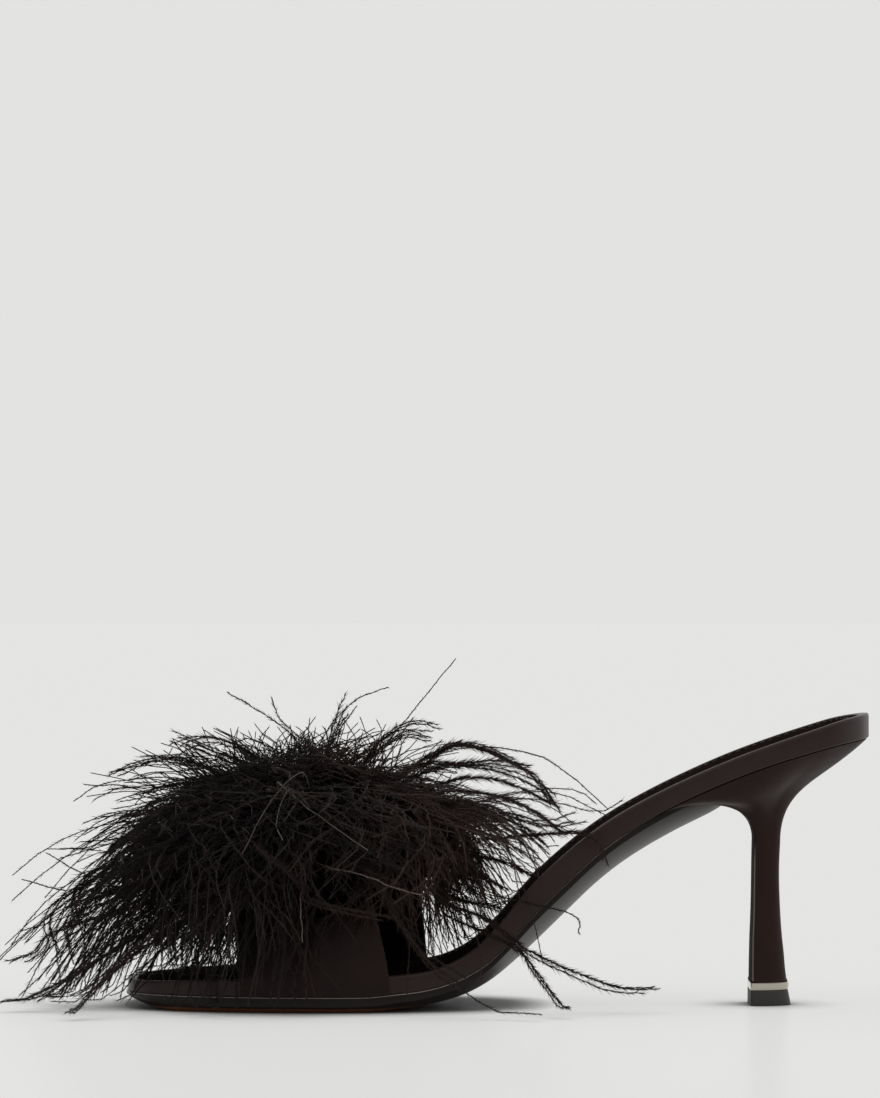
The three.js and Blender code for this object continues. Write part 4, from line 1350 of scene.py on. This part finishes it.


# Long strands placed one by one: how downy each is, then its points from the root to the tip, in millimetres
LONG_STRANDS = (
    (0.35, ((35.4, 0, 80.7), (44, 2, 91.3), (53.6, 4, 103))),
    (0.5, ((12.5, 0, 75.6), (16.6, -2, 83.7), (24.8, -4, 91.4), (33.4, -6, 94.5))),
    (0.6, ((16, 4, 76.5), (23.6, 8, 88.7))),
    (0.7, ((11.5, 0, 74.6), (1.3, 2, 84.7), (-1.3, 4, 91.2))),
    (0.7, ((7.5, 0, 74.6), (4.4, -1, 80.7), (-7.2, -3, 88.8), (-14.2, -4, 92.9))),
    (1, ((-4.7, 0, 69), (-11.9, 3, 72.4), (-29.4, 6, 79.6))),
    (0.6, ((0.7, -14, 75), (-7.2, -17, 79.5), (-13.2, -20, 78.1))),
    (0.5, ((-22.2, 4, 55.1), (-42.6, 5, 64.2), (-57.9, 6, 65.2))),
    (0.4, ((-25.7, -6, 66.7), (-37.7, -9, 67.8), (-51.6, -13, 65.8), (-59.5, -16, 61))),
    (0.4, ((-35, -4, 55.5), (-55.1, -6, 47.5), (-68, -8, 46.6))),
    (0.5, ((-43.6, -12, 38.7), (-55.4, -17, 39.4), (-67.1, -22, 46.2))),
    (0.5, ((-49, -6, 37.3), (-62.1, -8, 34.4), (-75, -10, 37.5))),
    (0.95, ((-65.9, 4, 21.6), (-72.3, 8, 15.2), (-80.2, 12, 11.9))),
    (0.95, ((-40.9, -26, 21.4), (-57.6, -29, 11.5), (-70.4, -31, 4.7), (-80.1, -34, 2))),
    (1, ((-37.9, -44, 19.4), (-49, -56, 10.4), (-58.1, -68, 1.5))),
    (0.45, ((49, 0, 74.6), (64.3, -2, 76.7), (79.4, -4, 73.7), (89.5, -6, 66.7), (98.6, -8, 58.6))),
    (1, ((54.1, 2, 77.5), (75.4, 3, 69.4), (83.6, 4, 59.3))),
    (1, ((24.6, 6, 70.3), (36.8, 10, 79.5), (46, 14, 79.4))),
    (1.1, ((54.1, -4, 60.5), (79.4, -8, 53.6), (91.9, -12, 54.8))),
    (1, ((88, -24, 52.2), (94.8, -31, 49.5), (96.7, -38, 44.8))),
    (1, ((63, -38, 27.1), (74.8, -39, 18.2), (98.5, -41, 8.4), (110.9, -42, 8))),
    (1, ((70.8, -44, 19.4), (76.6, -53, 13.1), (86.1, -62, 1.5))),
    (0.6, ((32.3, -52, 33.7), (47.1, -59, 14.5), (66.6, -65, 1.5), (77.7, -72, 1.5))),
    (0.5, ((86.8, -34, 28.8), (89.6, -40, 23.2))),
    (0.9, ((-3.9, -54, 49.6), (9.8, -55, 38.7), (12.7, -55, 33.9), (35.3, -56, 29.1))),
    (1, ((3.7, -46, 30.4), (3.7, -53, 20), (1.5, -60, 1.9))),
    (0.3, ((9.6, -46, 20.6), (20, -54, 7.8))),
    (0.3, ((16.1, -48, 28.6), (12.7, -52, 18))),
    (0.7, ((10.1, -48, 19.7), (10.4, -58, 1.8))),
    (0.9, ((26.4, -50, 44.4), (34.3, -53, 31.8), (44.2, -57, 16.3), (52.9, -60, 8.7))),
    (1.1, ((36.2, 3, 68.3), (46.4, 5, 71.5), (56.8, 6, 70.5), (66.9, 6, 69.2), (77.3, 5, 64.9),
           (82.5, 4, 60.6))),
    (1.2, ((43.1, -8, 69.1), (55, -10, 72), (67, -12, 73.1), (75.6, -13, 71.3))),
    (1.1, ((51.6, -3, 66.5), (62.8, -5, 67.4), (72.2, -6, 64.9), (84.1, -8, 58.9))),
    (1.2, ((40, 10, 70), (52, 14, 76.5), (62, 16, 76), (72, 18, 71))),
    (1.2, ((47.3, -12, 59.7), (60.1, -15, 58), (72.9, -18, 53.7), (80.7, -20, 47.8))),
    (1.2, ((50, 8, 63), (64, 10, 62), (76, 11, 57.5), (86, 12, 50))),
    (1.1, ((55.9, -8, 44.3), (64.5, -10, 43.6), (73.8, -11, 40), (77.3, -12, 36.7))),
    (1.1, ((51.6, 4, 38.3), (60.1, 6, 38.3), (67, 7, 34.9))),
    (1, ((55.9, -14, 31.4), (64.5, -16, 29.8), (70, -17, 27))),
    (1, ((15, 4, 74), (18, 5, 83), (21, 5, 88.5))),
    (1, ((27, 2, 73), (33, 3, 80), (41, 3, 83.5), (49, 2, 82))),
    (1, ((-2, -6, 70), (-9, -9, 76.5), (-20, -12, 80), (-28, -14, 77.5))),
    (1, ((-12, 2, 66), (-26, 4, 72), (-38, 5, 72.5), (-50, 6, 68))),
    (0.95, ((-46.2, -10, 40.8), (-61.8, -14, 32.6), (-66.4, -17, 25.2), (-63.6, -18, 17))),
    (0.9, ((-44.4, -16, 35.3), (-55.4, -20, 31.6), (-60.9, -23, 24.3), (-59.1, -24, 16.1))),
    (0.6, ((-48.1, -6, 31.6), (-55.4, -8, 28), (-56.8, -9, 17.9), (-56.3, -9, 5))),
    (0.7, ((-52.7, -12, 32.6), (-61.8, -15, 28.9), (-64.6, -17, 19.7), (-63.2, -18, 7.8))),
    (0.95, ((-44.4, 4, 41.7), (-55.4, 6, 38.9), (-61.4, 7, 31.6), (-60, 7, 22.5))),
)

# Pale quills that lie over the front of the puff
PALE_QUILLS = (
    (0.15, ((10.3, -42, 68.6), (7.4, -48, 70.2), (-0.3, -53, 62), (-8.1, -58, 47.4))),
    (0.15, ((1.3, -40, 67.6), (9.5, -48, 60.9), (19.4, -54, 54.2), (27.9, -58, 48.5))),
    (0.3, ((5.4, -45, 65.7), (1.6, -53, 57.1), (3.4, -58, 51.5))),
    (0.4, ((17, -52, 43), (27, -55, 41), (36, -57, 37.5), (44, -58, 35.5))),
    (0.2, ((8.6, -56, 34), (9.4, -58, 22))),
)


@dataclass(frozen=True)
class Batch:
    """A batch of locks that grow out of the puff.

    Attributes:
        name: The name of its piece.
        fuzz: How downy its strands are.
        locks: Number of locks.
        strands: Number of strands in a lock.
        low: Lowest direction, as the sine of its elevation.
        high: Highest direction.
        turn: First and last direction round the puff, in degrees; 180 is the toe, 270 the outer side.
        comb: How far a strand turns down over the puff on its way, in radians.
        root: Where strands start, as a share of the puff's size.
        reach: Where they would end without their own weight.
        lift: How far strands that leave sideways rise, in millimetres.
        droop: How far they hang at their tips.
        steps: Number of points on a strand.
        thickness: Thickness of its quills as a share of the usual one.
    """

    name: str
    fuzz: Fuzz
    locks: int
    strands: int
    low: float
    high: float
    turn: tuple[float, float]
    comb: float
    root: float
    reach: float
    lift: float
    droop: float
    steps: int
    thickness: float = 1.0


ROUND = (0.0, 360.0)
BATCHES = (
    Batch("down_low", Fuzz.DOWN, 100, 4, -0.75, 0.0, ROUND, 0.0, 0.66, 1.02, 4.0, 10.0, 7),
    Batch("down_middle", Fuzz.DOWN, 110, 4, -0.05, 0.5, ROUND, 0.0, 0.66, 1.05, 4.0, 11.0, 7),
    Batch("down_high", Fuzz.HAIR, 160, 6, 0.4, 1.0, ROUND, 0.0, 0.74, 1.05, 1.0, 3.0, 7, 0.55),
    Batch("combed_low", Fuzz.DOWN, 50, 4, -0.25, 0.45, ROUND, 0.55, 0.84, 1.06, 0.0, 3.0, 8),
    Batch("combed_high", Fuzz.DOWN, 110, 4, 0.4, 1.0, ROUND, 0.6, 0.84, 1.04, 0.0, 1.0, 8),
    Batch("combed_front", Fuzz.DOWN, 84, 5, 0.2, 0.9, (210.0, 330.0), 0.5, 0.8, 1.06, 0.0, 2.0, 8),
    Batch("crest", Fuzz.HAIR, 84, 8, 0.82, 1.0, ROUND, -0.05, 0.82, 1.1, 0.0, 1.0, 7, 0.45),
    Batch("plumes_low", Fuzz.PLUME, 50, 4, -0.6, -0.1, ROUND, 0.1, 0.5, 1.25, 14.0, 25.0, 11),
    Batch("plumes_middle", Fuzz.PLUME, 46, 4, -0.15, 0.3, ROUND, 0.1, 0.5, 1.24, 14.0, 32.0, 11),
    Batch("plumes_shoulder", Fuzz.PLUME, 48, 4, 0.2, 0.65, ROUND, 0.15, 0.5, 1.17, 10.0, 25.0, 11),
    Batch("plumes_high", Fuzz.PLUME, 36, 4, 0.6, 1.0, ROUND, 0.1, 0.55, 1.08, 2.0, 9.0, 10),
    Batch("fringe_toe", Fuzz.PLUME, 32, 5, -0.75, -0.15, (150.0, 250.0), 0.0, 0.6, 1.42, 12.0, 30.0, 12),
    Batch("fringe_heel", Fuzz.PLUME, 12, 4, -0.1, 0.5, (-40.0, 30.0), 0.0, 0.6, 1.55, 20.0, 36.0, 12),
    Batch("fringe_outer", Fuzz.PLUME, 30, 4, -0.75, -0.1, (220.0, 278.0), 0.2, 0.8, 1.14, 2.0, 14.0, 10),
)


@dataclass(frozen=True)
class Habit:
    """How locks and their strands differ from one another: spreads in radians, and ranges of shares."""

    curl: float = 0.15
    reach_shape: float = 34.0  # of the gamma distribution of their lengths
    droop: tuple[float, float] = (0.5, 1.35)
    fuzz: tuple[float, float] = (0.55, 1.1)
    tone: tuple[float, float] = (0.0, 0.9)
    near: float = 0.075  # between the strands of a lock at their roots
    part: float = 0.085  # what they part by at their tips
    waves: tuple[float, float] = (5.0, 11.0)  # radians of a wave along a strand
    wave_turn: float = 0.028
    wave_mm: float = 0.9
    root: tuple[float, float] = (0.85, 1.1)
    length: tuple[float, float] = (0.84, 1.06)
    droop_power: float = 2.9  # strands hang late, near their tips
    painted_heelward_light: float = 1.1  # painted light: strands towards the heel are drawn lighter, as if they caught more light
    stray: float = 0.06  # share of the strands that lie where the others are left out
    thickness: tuple[float, float] = (0.75, 1.25)


@dataclass
class Strands:
    """A batch of feather strands: their points, and what each point carries."""

    points: np.ndarray  # strands, steps, 3
    thickness: np.ndarray
    fuzz: np.ndarray
    tone: np.ndarray

    def lines(self) -> tuple[np.ndarray, list[tuple[int, int]], dict[str, np.ndarray]]:
        """Lays the strands out for a Geometry Nodes tree.

        Returns:
            Points, edges and the attributes on the points.
        """
        count, steps, _ = self.points.shape
        along = np.tile(np.linspace(0, 1, steps), count)
        heading = np.gradient(self.points, axis=1).reshape(-1, 3)
        heading /= np.maximum(np.linalg.norm(heading, axis=1), 1e-9)[:, None]
        start = np.arange(count * steps).reshape(count, steps)
        edges = np.column_stack([start[:, :-1].ravel(), start[:, 1:].ravel()]).tolist()
        taper = 1 - 0.72 * along ** 1.6
        fade = np.clip(along / 0.12, 0.25, 1) * (1 - 0.55 * along ** 3)
        attributes = {
            "heading": heading,
            "thickness": np.repeat(self.thickness, steps) * taper,
            "fuzz": np.repeat(self.fuzz, steps) * fade,
            "tone": np.repeat(self.tone, steps),
        }
        return self.points.reshape(-1, 3), edges, attributes


@dataclass
class FeatherTrim:
    """The ostrich puff: a dense core, down over it, loose plumes, and long strands placed one by one."""

    centre: tuple[float, float, float] = (11.05, 0.0, 45.0)
    half: tuple[float, float, float] = (50.0, 50.0, 30.0)
    longer: tuple[float, float, float] = (1.14, 1.0, 1.0)  # strands reach further fore and aft
    wide: float = 78.0  # strands further out than this to either side are drawn in
    core_share: float = 0.88
    quill_mm: float = 0.16
    floor_clearance: float = 2.2
    heelward: float = 0.84  # reach of the strands towards the heel, against the others
    barbule_tilt: tuple[float, float] = (0.25, 0.7)  # a barbule leaves the quill at 14 to 40 degrees
    barbule_reach: tuple[float, float] = (0.55, 1.2)
    strap_clearance: float = 0.6
    rim_clearance: float = 0.6
    rim_margin: float = 1.5  # strands this far beside the sole still lie on its rim
    unevenness: float = 1.6  # strands lie on the floor and the rim up to this much higher
    drawn_in: float = 0.3  # share of the way that is left beyond wide
    free_x: tuple[float, float] = (13.0, 75.0)  # the strap's rear corner and the sole behind it stay free
    free_y: float = -16.0
    free_z: float = 17.0
    free_rise: tuple[float, float] = (6.0, 20.0)  # the free height grows by this much over this length
    rest_from: float = 44.0
    placed_steps: int = 16
    placed_root: float = 0.35  # how far its root is led towards the centre
    placed_downy: float = 0.9  # from this much fuzz on a placed strand gets copies
    placed_jitter: float = 0.12
    copy_spread: float = 1.8
    copy_thickness: float = 0.7
    habit: Habit = Habit()
    tree: NodeTree | None = None

    def build(self, plume: Material, quill: Material, depth: Material) -> None:
        """Builds and dresses every piece of the trim.

        Args:
            plume: Finish of the feathers.
            quill: Finish of the pale quills.
            depth: Finish of the dense inside, near black and without reflection as painted shade.
        """
        dress(self.core(), depth, "feather", "feather_trim")
        self.tree = self.strand_tree()
        grown_batches = [(b.name, b.fuzz, self.locks(b), plume) for b in BATCHES]
        placed_batches = [
            ("long_strands", Fuzz.THREAD, self.placed(LONG_STRANDS, 1.35, 3), plume),
            ("pale_quills", Fuzz.THREAD, self.placed(PALE_QUILLS, 2.6, 1), quill),
        ]
        for name, fuzz, strands, material in grown_batches + placed_batches:
            dress(self.grow(name, fuzz, strands, material), material, "feather")

    def strand_tree(self) -> NodeTree:
        """Builds the tree that turns lines into quills with barbules.

        Returns:
            The tree, with inputs Quill Radius, Barbule Spacing, Barbule Length, Barbule Radius, Seed and
            Material. The lines carry heading, thickness and fuzz on their points.
        """
        tree, given = start_tree("feather_strands", {
            "Quill Radius": "Float", "Barbule Spacing": "Float", "Barbule Length": "Float",
            "Barbule Radius": "Float", "Seed": "Int", "Material": "Material"})
        thickness, fuzz, heading = (
            add(tree, "GeometryNodeInputNamedAttribute", {"Name": key}, data_type=kind).outputs[0]
            for key, kind in (("thickness", "FLOAT"), ("fuzz", "FLOAT"), ("heading", "FLOAT_VECTOR")))
        line = add(tree, "GeometryNodeMeshToCurve", {"Mesh": given["Geometry"]}).outputs[0]
        tapered = add(tree, "GeometryNodeSetCurveRadius", {"Curve": line, "Radius": thickness})
        section = add(tree, "GeometryNodeCurvePrimitiveCircle", {
            "Resolution": 3, "Radius": given["Quill Radius"]}, mode="RADIUS")
        quills = add(tree, "GeometryNodeCurveToMesh", {
            "Curve": tapered.outputs[0], "Profile Curve": section.outputs[0], "Fill Caps": True})
        spots = add(tree, "GeometryNodeCurveToPoints", {"Curve": line, "Length": given["Barbule Spacing"]},
                    mode="LENGTH")
        barbule = add(tree, "GeometryNodeMeshCone", {
            "Vertices": 3, "Radius Top": 0.0, "Radius Bottom": given["Barbule Radius"],
            "Depth": given["Barbule Length"]}, fill_type="NGON")
        tilt, spin, reach = (
            add(tree, "FunctionNodeRandomValue", {
                2: low, 3: high, "Seed": maths(tree, "ADD", given["Seed"], k)}, data_type="FLOAT").outputs[1]
            for k, (low, high) in enumerate((self.barbule_tilt, (0.0, 2 * math.pi), self.barbule_reach)))
        lean = add(tree, "ShaderNodeCombineXYZ", {"X": tilt, "Z": spin})
        lean_turn = add(tree, "FunctionNodeEulerToRotation", {"Euler": lean.outputs[0]})
        ahead = add(tree, "FunctionNodeAlignRotationToVector", {"Vector": heading}, axis="Z")
        turned = add(tree, "FunctionNodeRotateRotation", {
            "Rotation": ahead.outputs[0], "Rotate By": lean_turn.outputs[0]}, rotation_space="LOCAL")
        size = add(tree, "ShaderNodeCombineXYZ", {
            "X": 1.0, "Y": 1.0, "Z": maths(tree, "MULTIPLY", fuzz, reach)})
        real = lay_out(tree, spots, barbule.outputs["Mesh"], turned, size)
        joined = add(tree, "GeometryNodeJoinGeometry")
        tree.links.new(quills.outputs[0], joined.inputs[0])
        tree.links.new(real, joined.inputs[0])
        end_tree(tree, joined.outputs[0], given["Material"])
        return tree

    def grow(self, name: str, fuzz: Fuzz, strands: Strands, material: Material) -> Object:
        """Grows one batch of strands.

        Args:
            name: The name of the piece.
            fuzz: How downy it is.
            strands: The strands.
            material: Their finish.

        Returns:
            The piece as a plain mesh.
        """
        spacing, length, radius = fuzz.value
        points, edges, attributes = strands.lines()
        return grown(name, self.tree, points, edges, attributes, {
            "Quill Radius": self.quill_mm * MM, "Barbule Spacing": spacing * MM,
            "Barbule Length": length * MM, "Barbule Radius": radius * MM, "Seed": len(points),
            "Material": material})

    def core(self) -> Object:
        """Builds the dense inside of the puff, hollowed over the strap and the foot.

        Returns:
            The new object.
        """
        bm = bmesh.new()
        bmesh.ops.create_uvsphere(bm, u_segments=96, v_segments=56, radius=1)
        for vert in bm.verts:
            p = np.array(vert.co)
            turn = math.atan2(p[1], p[0])
            clump = math.sin(5 * turn + 2 * p[2]) * math.cos(3 * turn - 4 * p[2]) * (1 - p[2] ** 2)
            tuft = math.sin(17 * turn + 6 * p[2]) * math.sin(13 * p[2] + 2 * turn) * (1 - p[2] ** 2)
            p = p * (1 + 0.09 * clump + 0.035 * tuft) * self.core_share
            vert.co = (p * self.half + self.centre) * MM
        piece = finish_mesh(bm, "feather_core")
        x = np.linspace(LAST.to_x(0.06), LAST.to_x(0.62), 30)
        arcs = np.linspace(0, 1, 49)
        slices = []
        for at in x:
            arch = LAST.arch(np.full(len(arcs), at), arcs, LAST.strap_wall + 0.3)
            drop = 3 * LAST.outsole_thickness
            slices.append(np.vstack([arch[0] - (0, 0, drop), arch, arch[-1] - (0, 0, drop)]))
        foot = loft("foot_space", slices, capped=True)
        cut = piece.modifiers.new("hollow", "BOOLEAN")
        cut.operation, cut.object, cut.solver = "DIFFERENCE", foot, "EXACT"
        bake(piece, cut)
        bpy.data.objects.remove(foot)
        return piece

    def settle(self, points: np.ndarray, rng: np.random.Generator) -> np.ndarray:
        """Keeps strands above the floor, out of the shoe and out of the space under the strap.

        Args:
            points: Strands, steps, 3.
            rng: Source of the small differences in height.

        Returns:
            The same points, moved where needed.
        """
        x, y, z = (points[..., k] for k in range(3))
        front, rear = LAST.to_x(min(STRAP_EDGES.column("front"))), LAST.to_x(max(STRAP_EDGES.column("rear")))
        gap = self.strap_clearance
        crown = LAST.arch(x.ravel(), 0.5, LAST.strap_wall + gap)[:, 2].reshape(x.shape)
        held = np.clip(x, LAST.to_x(0.1), LAST.to_x(0.43))
        outer, inner = LAST.sides(held)
        seam, ridge = LAST.seam_z(held), (outer + inner) / 2 + LAST.instep_shift
        half = np.where(y < ridge, ridge - outer, inner - ridge) + LAST.strap_proud + gap
        across, up = (y - ridge) / half, (z - seam) / (crown - seam)
        power = LAST.arch_power
        size = (np.abs(across) ** power + np.maximum(up, 0) ** power) ** (1 / power)
        under = (x > front - 2) & (x < rear + 2) & (size < 1) & (up > 0)
        push = np.where(under, 1 / np.maximum(size, 0.05), 1)
        points[..., 1] = ridge + across * half * push
        points[..., 2] = seam + up * (crown - seam) * push
        x, y, z = (points[..., k] for k in range(3))
        inside = self.over_sole(x, y) & (x > LAST.to_x(0)) & (x < LAST.to_x(1))
        lift = rng.uniform(0, self.unevenness, points.shape[0])[:, None]
        rest = np.where(inside, LAST.rim_z(x) + self.rim_clearance, self.floor_clearance) + lift
        points[..., 2] = np.maximum(z, rest)
        beyond = np.abs(y) - self.wide
        points[..., 1] = np.where(beyond > 0, np.sign(y) * (self.wide + beyond * self.drawn_in), y)
        return points

    def over_sole(self, x: np.ndarray, y: np.ndarray) -> np.ndarray:
        """Whether places lie over the sole, or close beside it."""
        outer, inner = LAST.sides(x)
        return (y > outer - self.rim_margin) & (y < inner + self.rim_margin)

    def locks(self, batch: Batch) -> Strands:
        """Grows locks: strands that leave the puff together, part a little and hang at their tips.

        Args:
            batch: What the locks are like.

        Returns:
            The strands.
        """
        rng = np.random.default_rng(sum(batch.name.encode()))
        habit, count = self.habit, batch.locks * batch.strands
        half, centre = np.array(self.half) * self.longer, np.array(self.centre)
        rise = np.arcsin(rng.uniform(batch.low, batch.high, batch.locks))
        golden = np.arange(batch.locks) * (math.sqrt(5) - 1) / 2 % 1
        turn = np.radians(batch.turn[0] + (batch.turn[1] - batch.turn[0]) * golden)
        shape = habit.reach_shape
        own = {"rise": rise, "turn": turn, "curl": rng.normal(0, habit.curl, batch.locks),
               "reach": batch.reach * rng.gamma(shape, 1 / shape, batch.locks),
               "droop": batch.droop * rng.uniform(*habit.droop, batch.locks),
               "fuzz": rng.uniform(*habit.fuzz, batch.locks), "tone": rng.uniform(*habit.tone, batch.locks)}
        lock = {key: np.repeat(value, batch.strands)[:, None] for key, value in own.items()}
        near = rng.normal(0, habit.near, (2, count, 1))
        part = rng.normal(0, habit.part, (2, count, 1))
        s = np.linspace(0, 1, batch.steps)[None, :]
        wave = rng.uniform(0, 2 * math.pi, (count, 1)) + rng.uniform(*habit.waves, (count, 1)) * s
        up = lock["rise"] + near[0] - batch.comb * s + part[0] * s ** 2
        flat = np.maximum(np.cos(lock["rise"]), 0.25)
        aside = (part[1] + lock["curl"]) * s ** 2 + habit.wave_turn * np.sin(wave) * s
        round_by = lock["turn"] + (near[1] + aside) / flat
        far = batch.root * rng.uniform(*habit.root, (count, 1))
        shorter = 1 - (1 - self.heelward) * np.maximum(np.cos(lock["turn"]), 0)
        size = far + (shorter * lock["reach"] * rng.uniform(*habit.length, (count, 1)) - far) * s
        way = np.stack([np.cos(up) * np.cos(round_by), np.cos(up) * np.sin(round_by), np.sin(up)], axis=-1)
        points = centre + way * half * size[..., None]
        side = 1 - np.abs(np.sin(lock["rise"]))
        points[..., 2] += batch.lift * side * s - lock["droop"] * (0.35 + side) * s ** habit.droop_power
        points[..., 2] += habit.wave_mm * np.cos(wave) * s
        lock = {key: value[:, 0] for key, value in lock.items()}
        # Painted light: strands towards the heel get a lighter tone, as if lit
        painted_heelward_light = habit.painted_heelward_light * np.maximum(np.cos(lock["turn"]), -0.15)
        fuzz = np.clip(lock["fuzz"] + rng.normal(0, 0.12, count), 0.3, 1.3)
        tone = np.clip(lock["tone"] + painted_heelward_light + rng.normal(0, 0.15, count), 0, 2)
        kept = (self.uncovered(points) & ~self.resting(points)) | (rng.random(count) < habit.stray)
        thickness = batch.thickness * rng.uniform(*habit.thickness, count)
        return Strands(self.settle(points[kept], rng), thickness[kept], fuzz[kept], tone[kept])

    def uncovered(self, points: np.ndarray) -> np.ndarray:
        """Finds the strands that leave the strap's rear corner and the sole behind it free.

        Args:
            points: Strands, steps, 3.

        Returns:
            True for each such strand.
        """
        x, y, z = (points[..., k] for k in range(3))
        (start, end), (rise, length) = self.free_x, self.free_rise
        low = z < self.free_z + rise * np.clip((x - start) / length, 0, 1)
        over = (x > start) & (x < end) & (y < self.free_y) & low
        return ~over.any(axis=1)

    def resting(self, points: np.ndarray) -> np.ndarray:
        """Finds the strands that would lie down on the footbed's rim or on the floor behind the strap.

        Args:
            points: Strands, steps, 3.

        Returns:
            True for each such strand.
        """
        x, y, z = (points[..., k] for k in range(3))
        over = self.over_sole(x, y)
        low = np.where(over, LAST.rim_z(x) + self.rim_clearance, self.floor_clearance - 6)
        return ((x > self.rest_from) & (z < low)).sum(axis=1) > 1

    def placed(self, table: Sequence[tuple], thickness: float, copies: int) -> Strands:
        """Strands from a table of given points, with their roots led into the puff.

        Args:
            table: Fuzz and points of each strand.
            thickness: Thickness of the quills as a share of the usual one.
            copies: Number of strands that lie close together where a line is a downy one.

        Returns:
            The strands.
        """
        rng = np.random.default_rng(31)
        steps, centre = self.placed_steps, np.array(self.centre)
        drawn = []
        for _, places in table:
            p = np.array(places, float)
            inner = p[0] + (centre - p[0]) * self.placed_root
            p = np.vstack([inner, p])
            p = np.vstack([2 * p[0] - p[1], p, 2 * p[-1] - p[-2]])
            fine = []
            for t in np.linspace(0, len(p) - 3, steps):
                i = min(int(t), len(p) - 4)
                u = t - i
                a, b, c, d = p[i:i + 4]
                fine.append(0.5 * (2 * b + (c - a) * u + (2 * a - 5 * b + 4 * c - d) * u * u
                                   + (3 * b - a - 3 * c + d) * u ** 3))
            drawn.append(fine)
        shares = [copies if fuzz >= self.placed_downy else 1 for fuzz, _ in table]
        extra = np.concatenate([np.arange(n) > 0 for n in shares])
        points = np.repeat(np.array(drawn), shares, axis=0)
        points += rng.normal(0, self.placed_jitter, points.shape)
        count = len(points)
        along = np.linspace(0, 1, steps)[None, :, None]
        points += rng.normal(0, self.copy_spread, (count, 1, 3)) * along ** 1.5 * extra[:, None, None]
        own = thickness * np.where(extra, self.copy_thickness, 1.0) * rng.uniform(0.95, 1.2, count)
        fuzz = np.repeat([row[0] for row in table], shares)
        return Strands(self.settle(points, rng), own, fuzz, rng.uniform(0.3, 1.0, count))


@dataclass
class Studio:
    """Camera, floor and light."""

    lens_mm: float = 183.5
    camera_mm: tuple[float, float, float] = (48.85, -1670.0, 120.0)
    shift_up: float = 0.0481
    backdrop: str = "#e3e3e1"
    floor_size_m: float = 30.0

    def build(self) -> None:
        """Builds the camera, the floor and the sky of soft light."""
        scene = bpy.context.scene
        scene.view_settings.view_transform = "Standard"
        scene.view_settings.look = "None"
        self.camera()
        self.floor()
        self.light()

    def camera(self) -> None:
        """Places the level camera of the photograph."""
        data = bpy.data.cameras.new("camera")
        data.sensor_fit = "AUTO"
        data.sensor_width = 36.0
        data.lens = self.lens_mm
        data.shift_y = self.shift_up
        data.clip_start, data.clip_end = 0.05, 100.0
        camera = new_object("camera", data)
        camera.location = [c * MM for c in self.camera_mm]
        camera.rotation_euler = (math.pi / 2, 0, 0)
        bpy.context.scene.camera = camera

    def floor(self) -> None:
        """Lays the pale floor."""
        r = self.floor_size_m
        mesh = bpy.data.meshes.new("floor")
        mesh.from_pydata([(-r, -r, 0), (r, -r, 0), (r, r, 0), (-r, r, 0)], [], [(0, 1, 2, 3)])
        mesh.materials.append(FloorPaper("floor_paper").build())
        floor = new_object("floor", mesh)

    def light(self) -> None:
        """Sets a soft sky, even overhead and behind, and dim low in front."""
        world = bpy.data.worlds.new("studio")
        bpy.context.scene.world = world
        world.use_nodes = True
        tree = world.node_tree
        tree.nodes.clear()
        way = add(tree, "ShaderNodeTexCoord").outputs["Generated"]
        axes = add(tree, "ShaderNodeSeparateXYZ", {"Vector": way})
        high = ramp(tree, axes.outputs["Z"], 0.12, 0.62, shape="SMOOTHSTEP")
        far = ramp(tree, axes.outputs["Y"], -0.9, 0.5, 0.15, 0.92, "SMOOTHSTEP")
        strength = add(tree, "ShaderNodeMix", {0: high, 2: far, 3: 1.02}, data_type="FLOAT")
        sky = add(tree, "ShaderNodeBackground", {"Color": (1, 1, 0.995, 1), "Strength": strength.outputs[0]})
        seen = add(tree, "ShaderNodeBackground", {"Color": linear(self.backdrop), "Strength": 1.0})
        path = add(tree, "ShaderNodeLightPath")
        mixed = add(tree, "ShaderNodeMixShader", {
            0: path.outputs["Is Camera Ray"], 1: sky.outputs[0], 2: seen.outputs[0]})
        add(tree, "ShaderNodeOutputWorld", {"Surface": mixed.outputs[0]})


def main() -> None:
    """Builds the sandal and its studio."""
    logging.basicConfig(level=logging.INFO, format="%(name)s: %(message)s")
    cover = CalfLeather("calf_cover").build()
    # The strap's leather is a darker copy of the cover's: painted shade from the feathers over it
    strap = CalfLeather("calf_strap", dark="#170e0c", light="#261816", pore_mm=0.8, roughness=0.5,
                        specular=0.15, coat=0.0).build()
    sock = CalfLeather("kid_sock", dark="#140f0e", light="#211918", roughness=0.9, specular=0.0,
                       coat=0.0).build()
    wrapped = HeelCalf("calf_heel", roughness=0.56, specular=0.12, coat=0.0).build()
    # The turned edge is far paler than the heel's leather: partly the raw edge's own colour, partly a
    # painted highlight along it
    turned = CalfLeather("calf_turned_edge", dark="#5a4f4a", light="#6d625c", roughness=0.3).build()
    paint = PaintedSole("painted_sole_leather").build()
    steel = PolishedSteel("polished_steel_band").build()
    rubber = HeelRubber("moulded_rubber").build()
    thread = WaxedThread("waxed_thread").build()
    plume = OstrichFeather("ostrich_plume").build()
    quill = OstrichFeather("ostrich_quill", deep="#4a413e", light="#85786f", roughness=0.45).build()
    # The dense inside is near black and reflects nothing: painted shade deep in the puff
    depth = OstrichFeather("ostrich_depth", deep="#060505", light="#0c0908", roughness=1.0, sheen=0.0,
                           specular=0.0).build()

    Studio().build()
    Sole().build(paint, cover, sock, thread)
    VampStrap().build(strap)
    Heel().build(wrapped, turned, steel, rubber)
    FeatherTrim().build(plume, quill, depth)


if __name__ == "__main__":
    main()
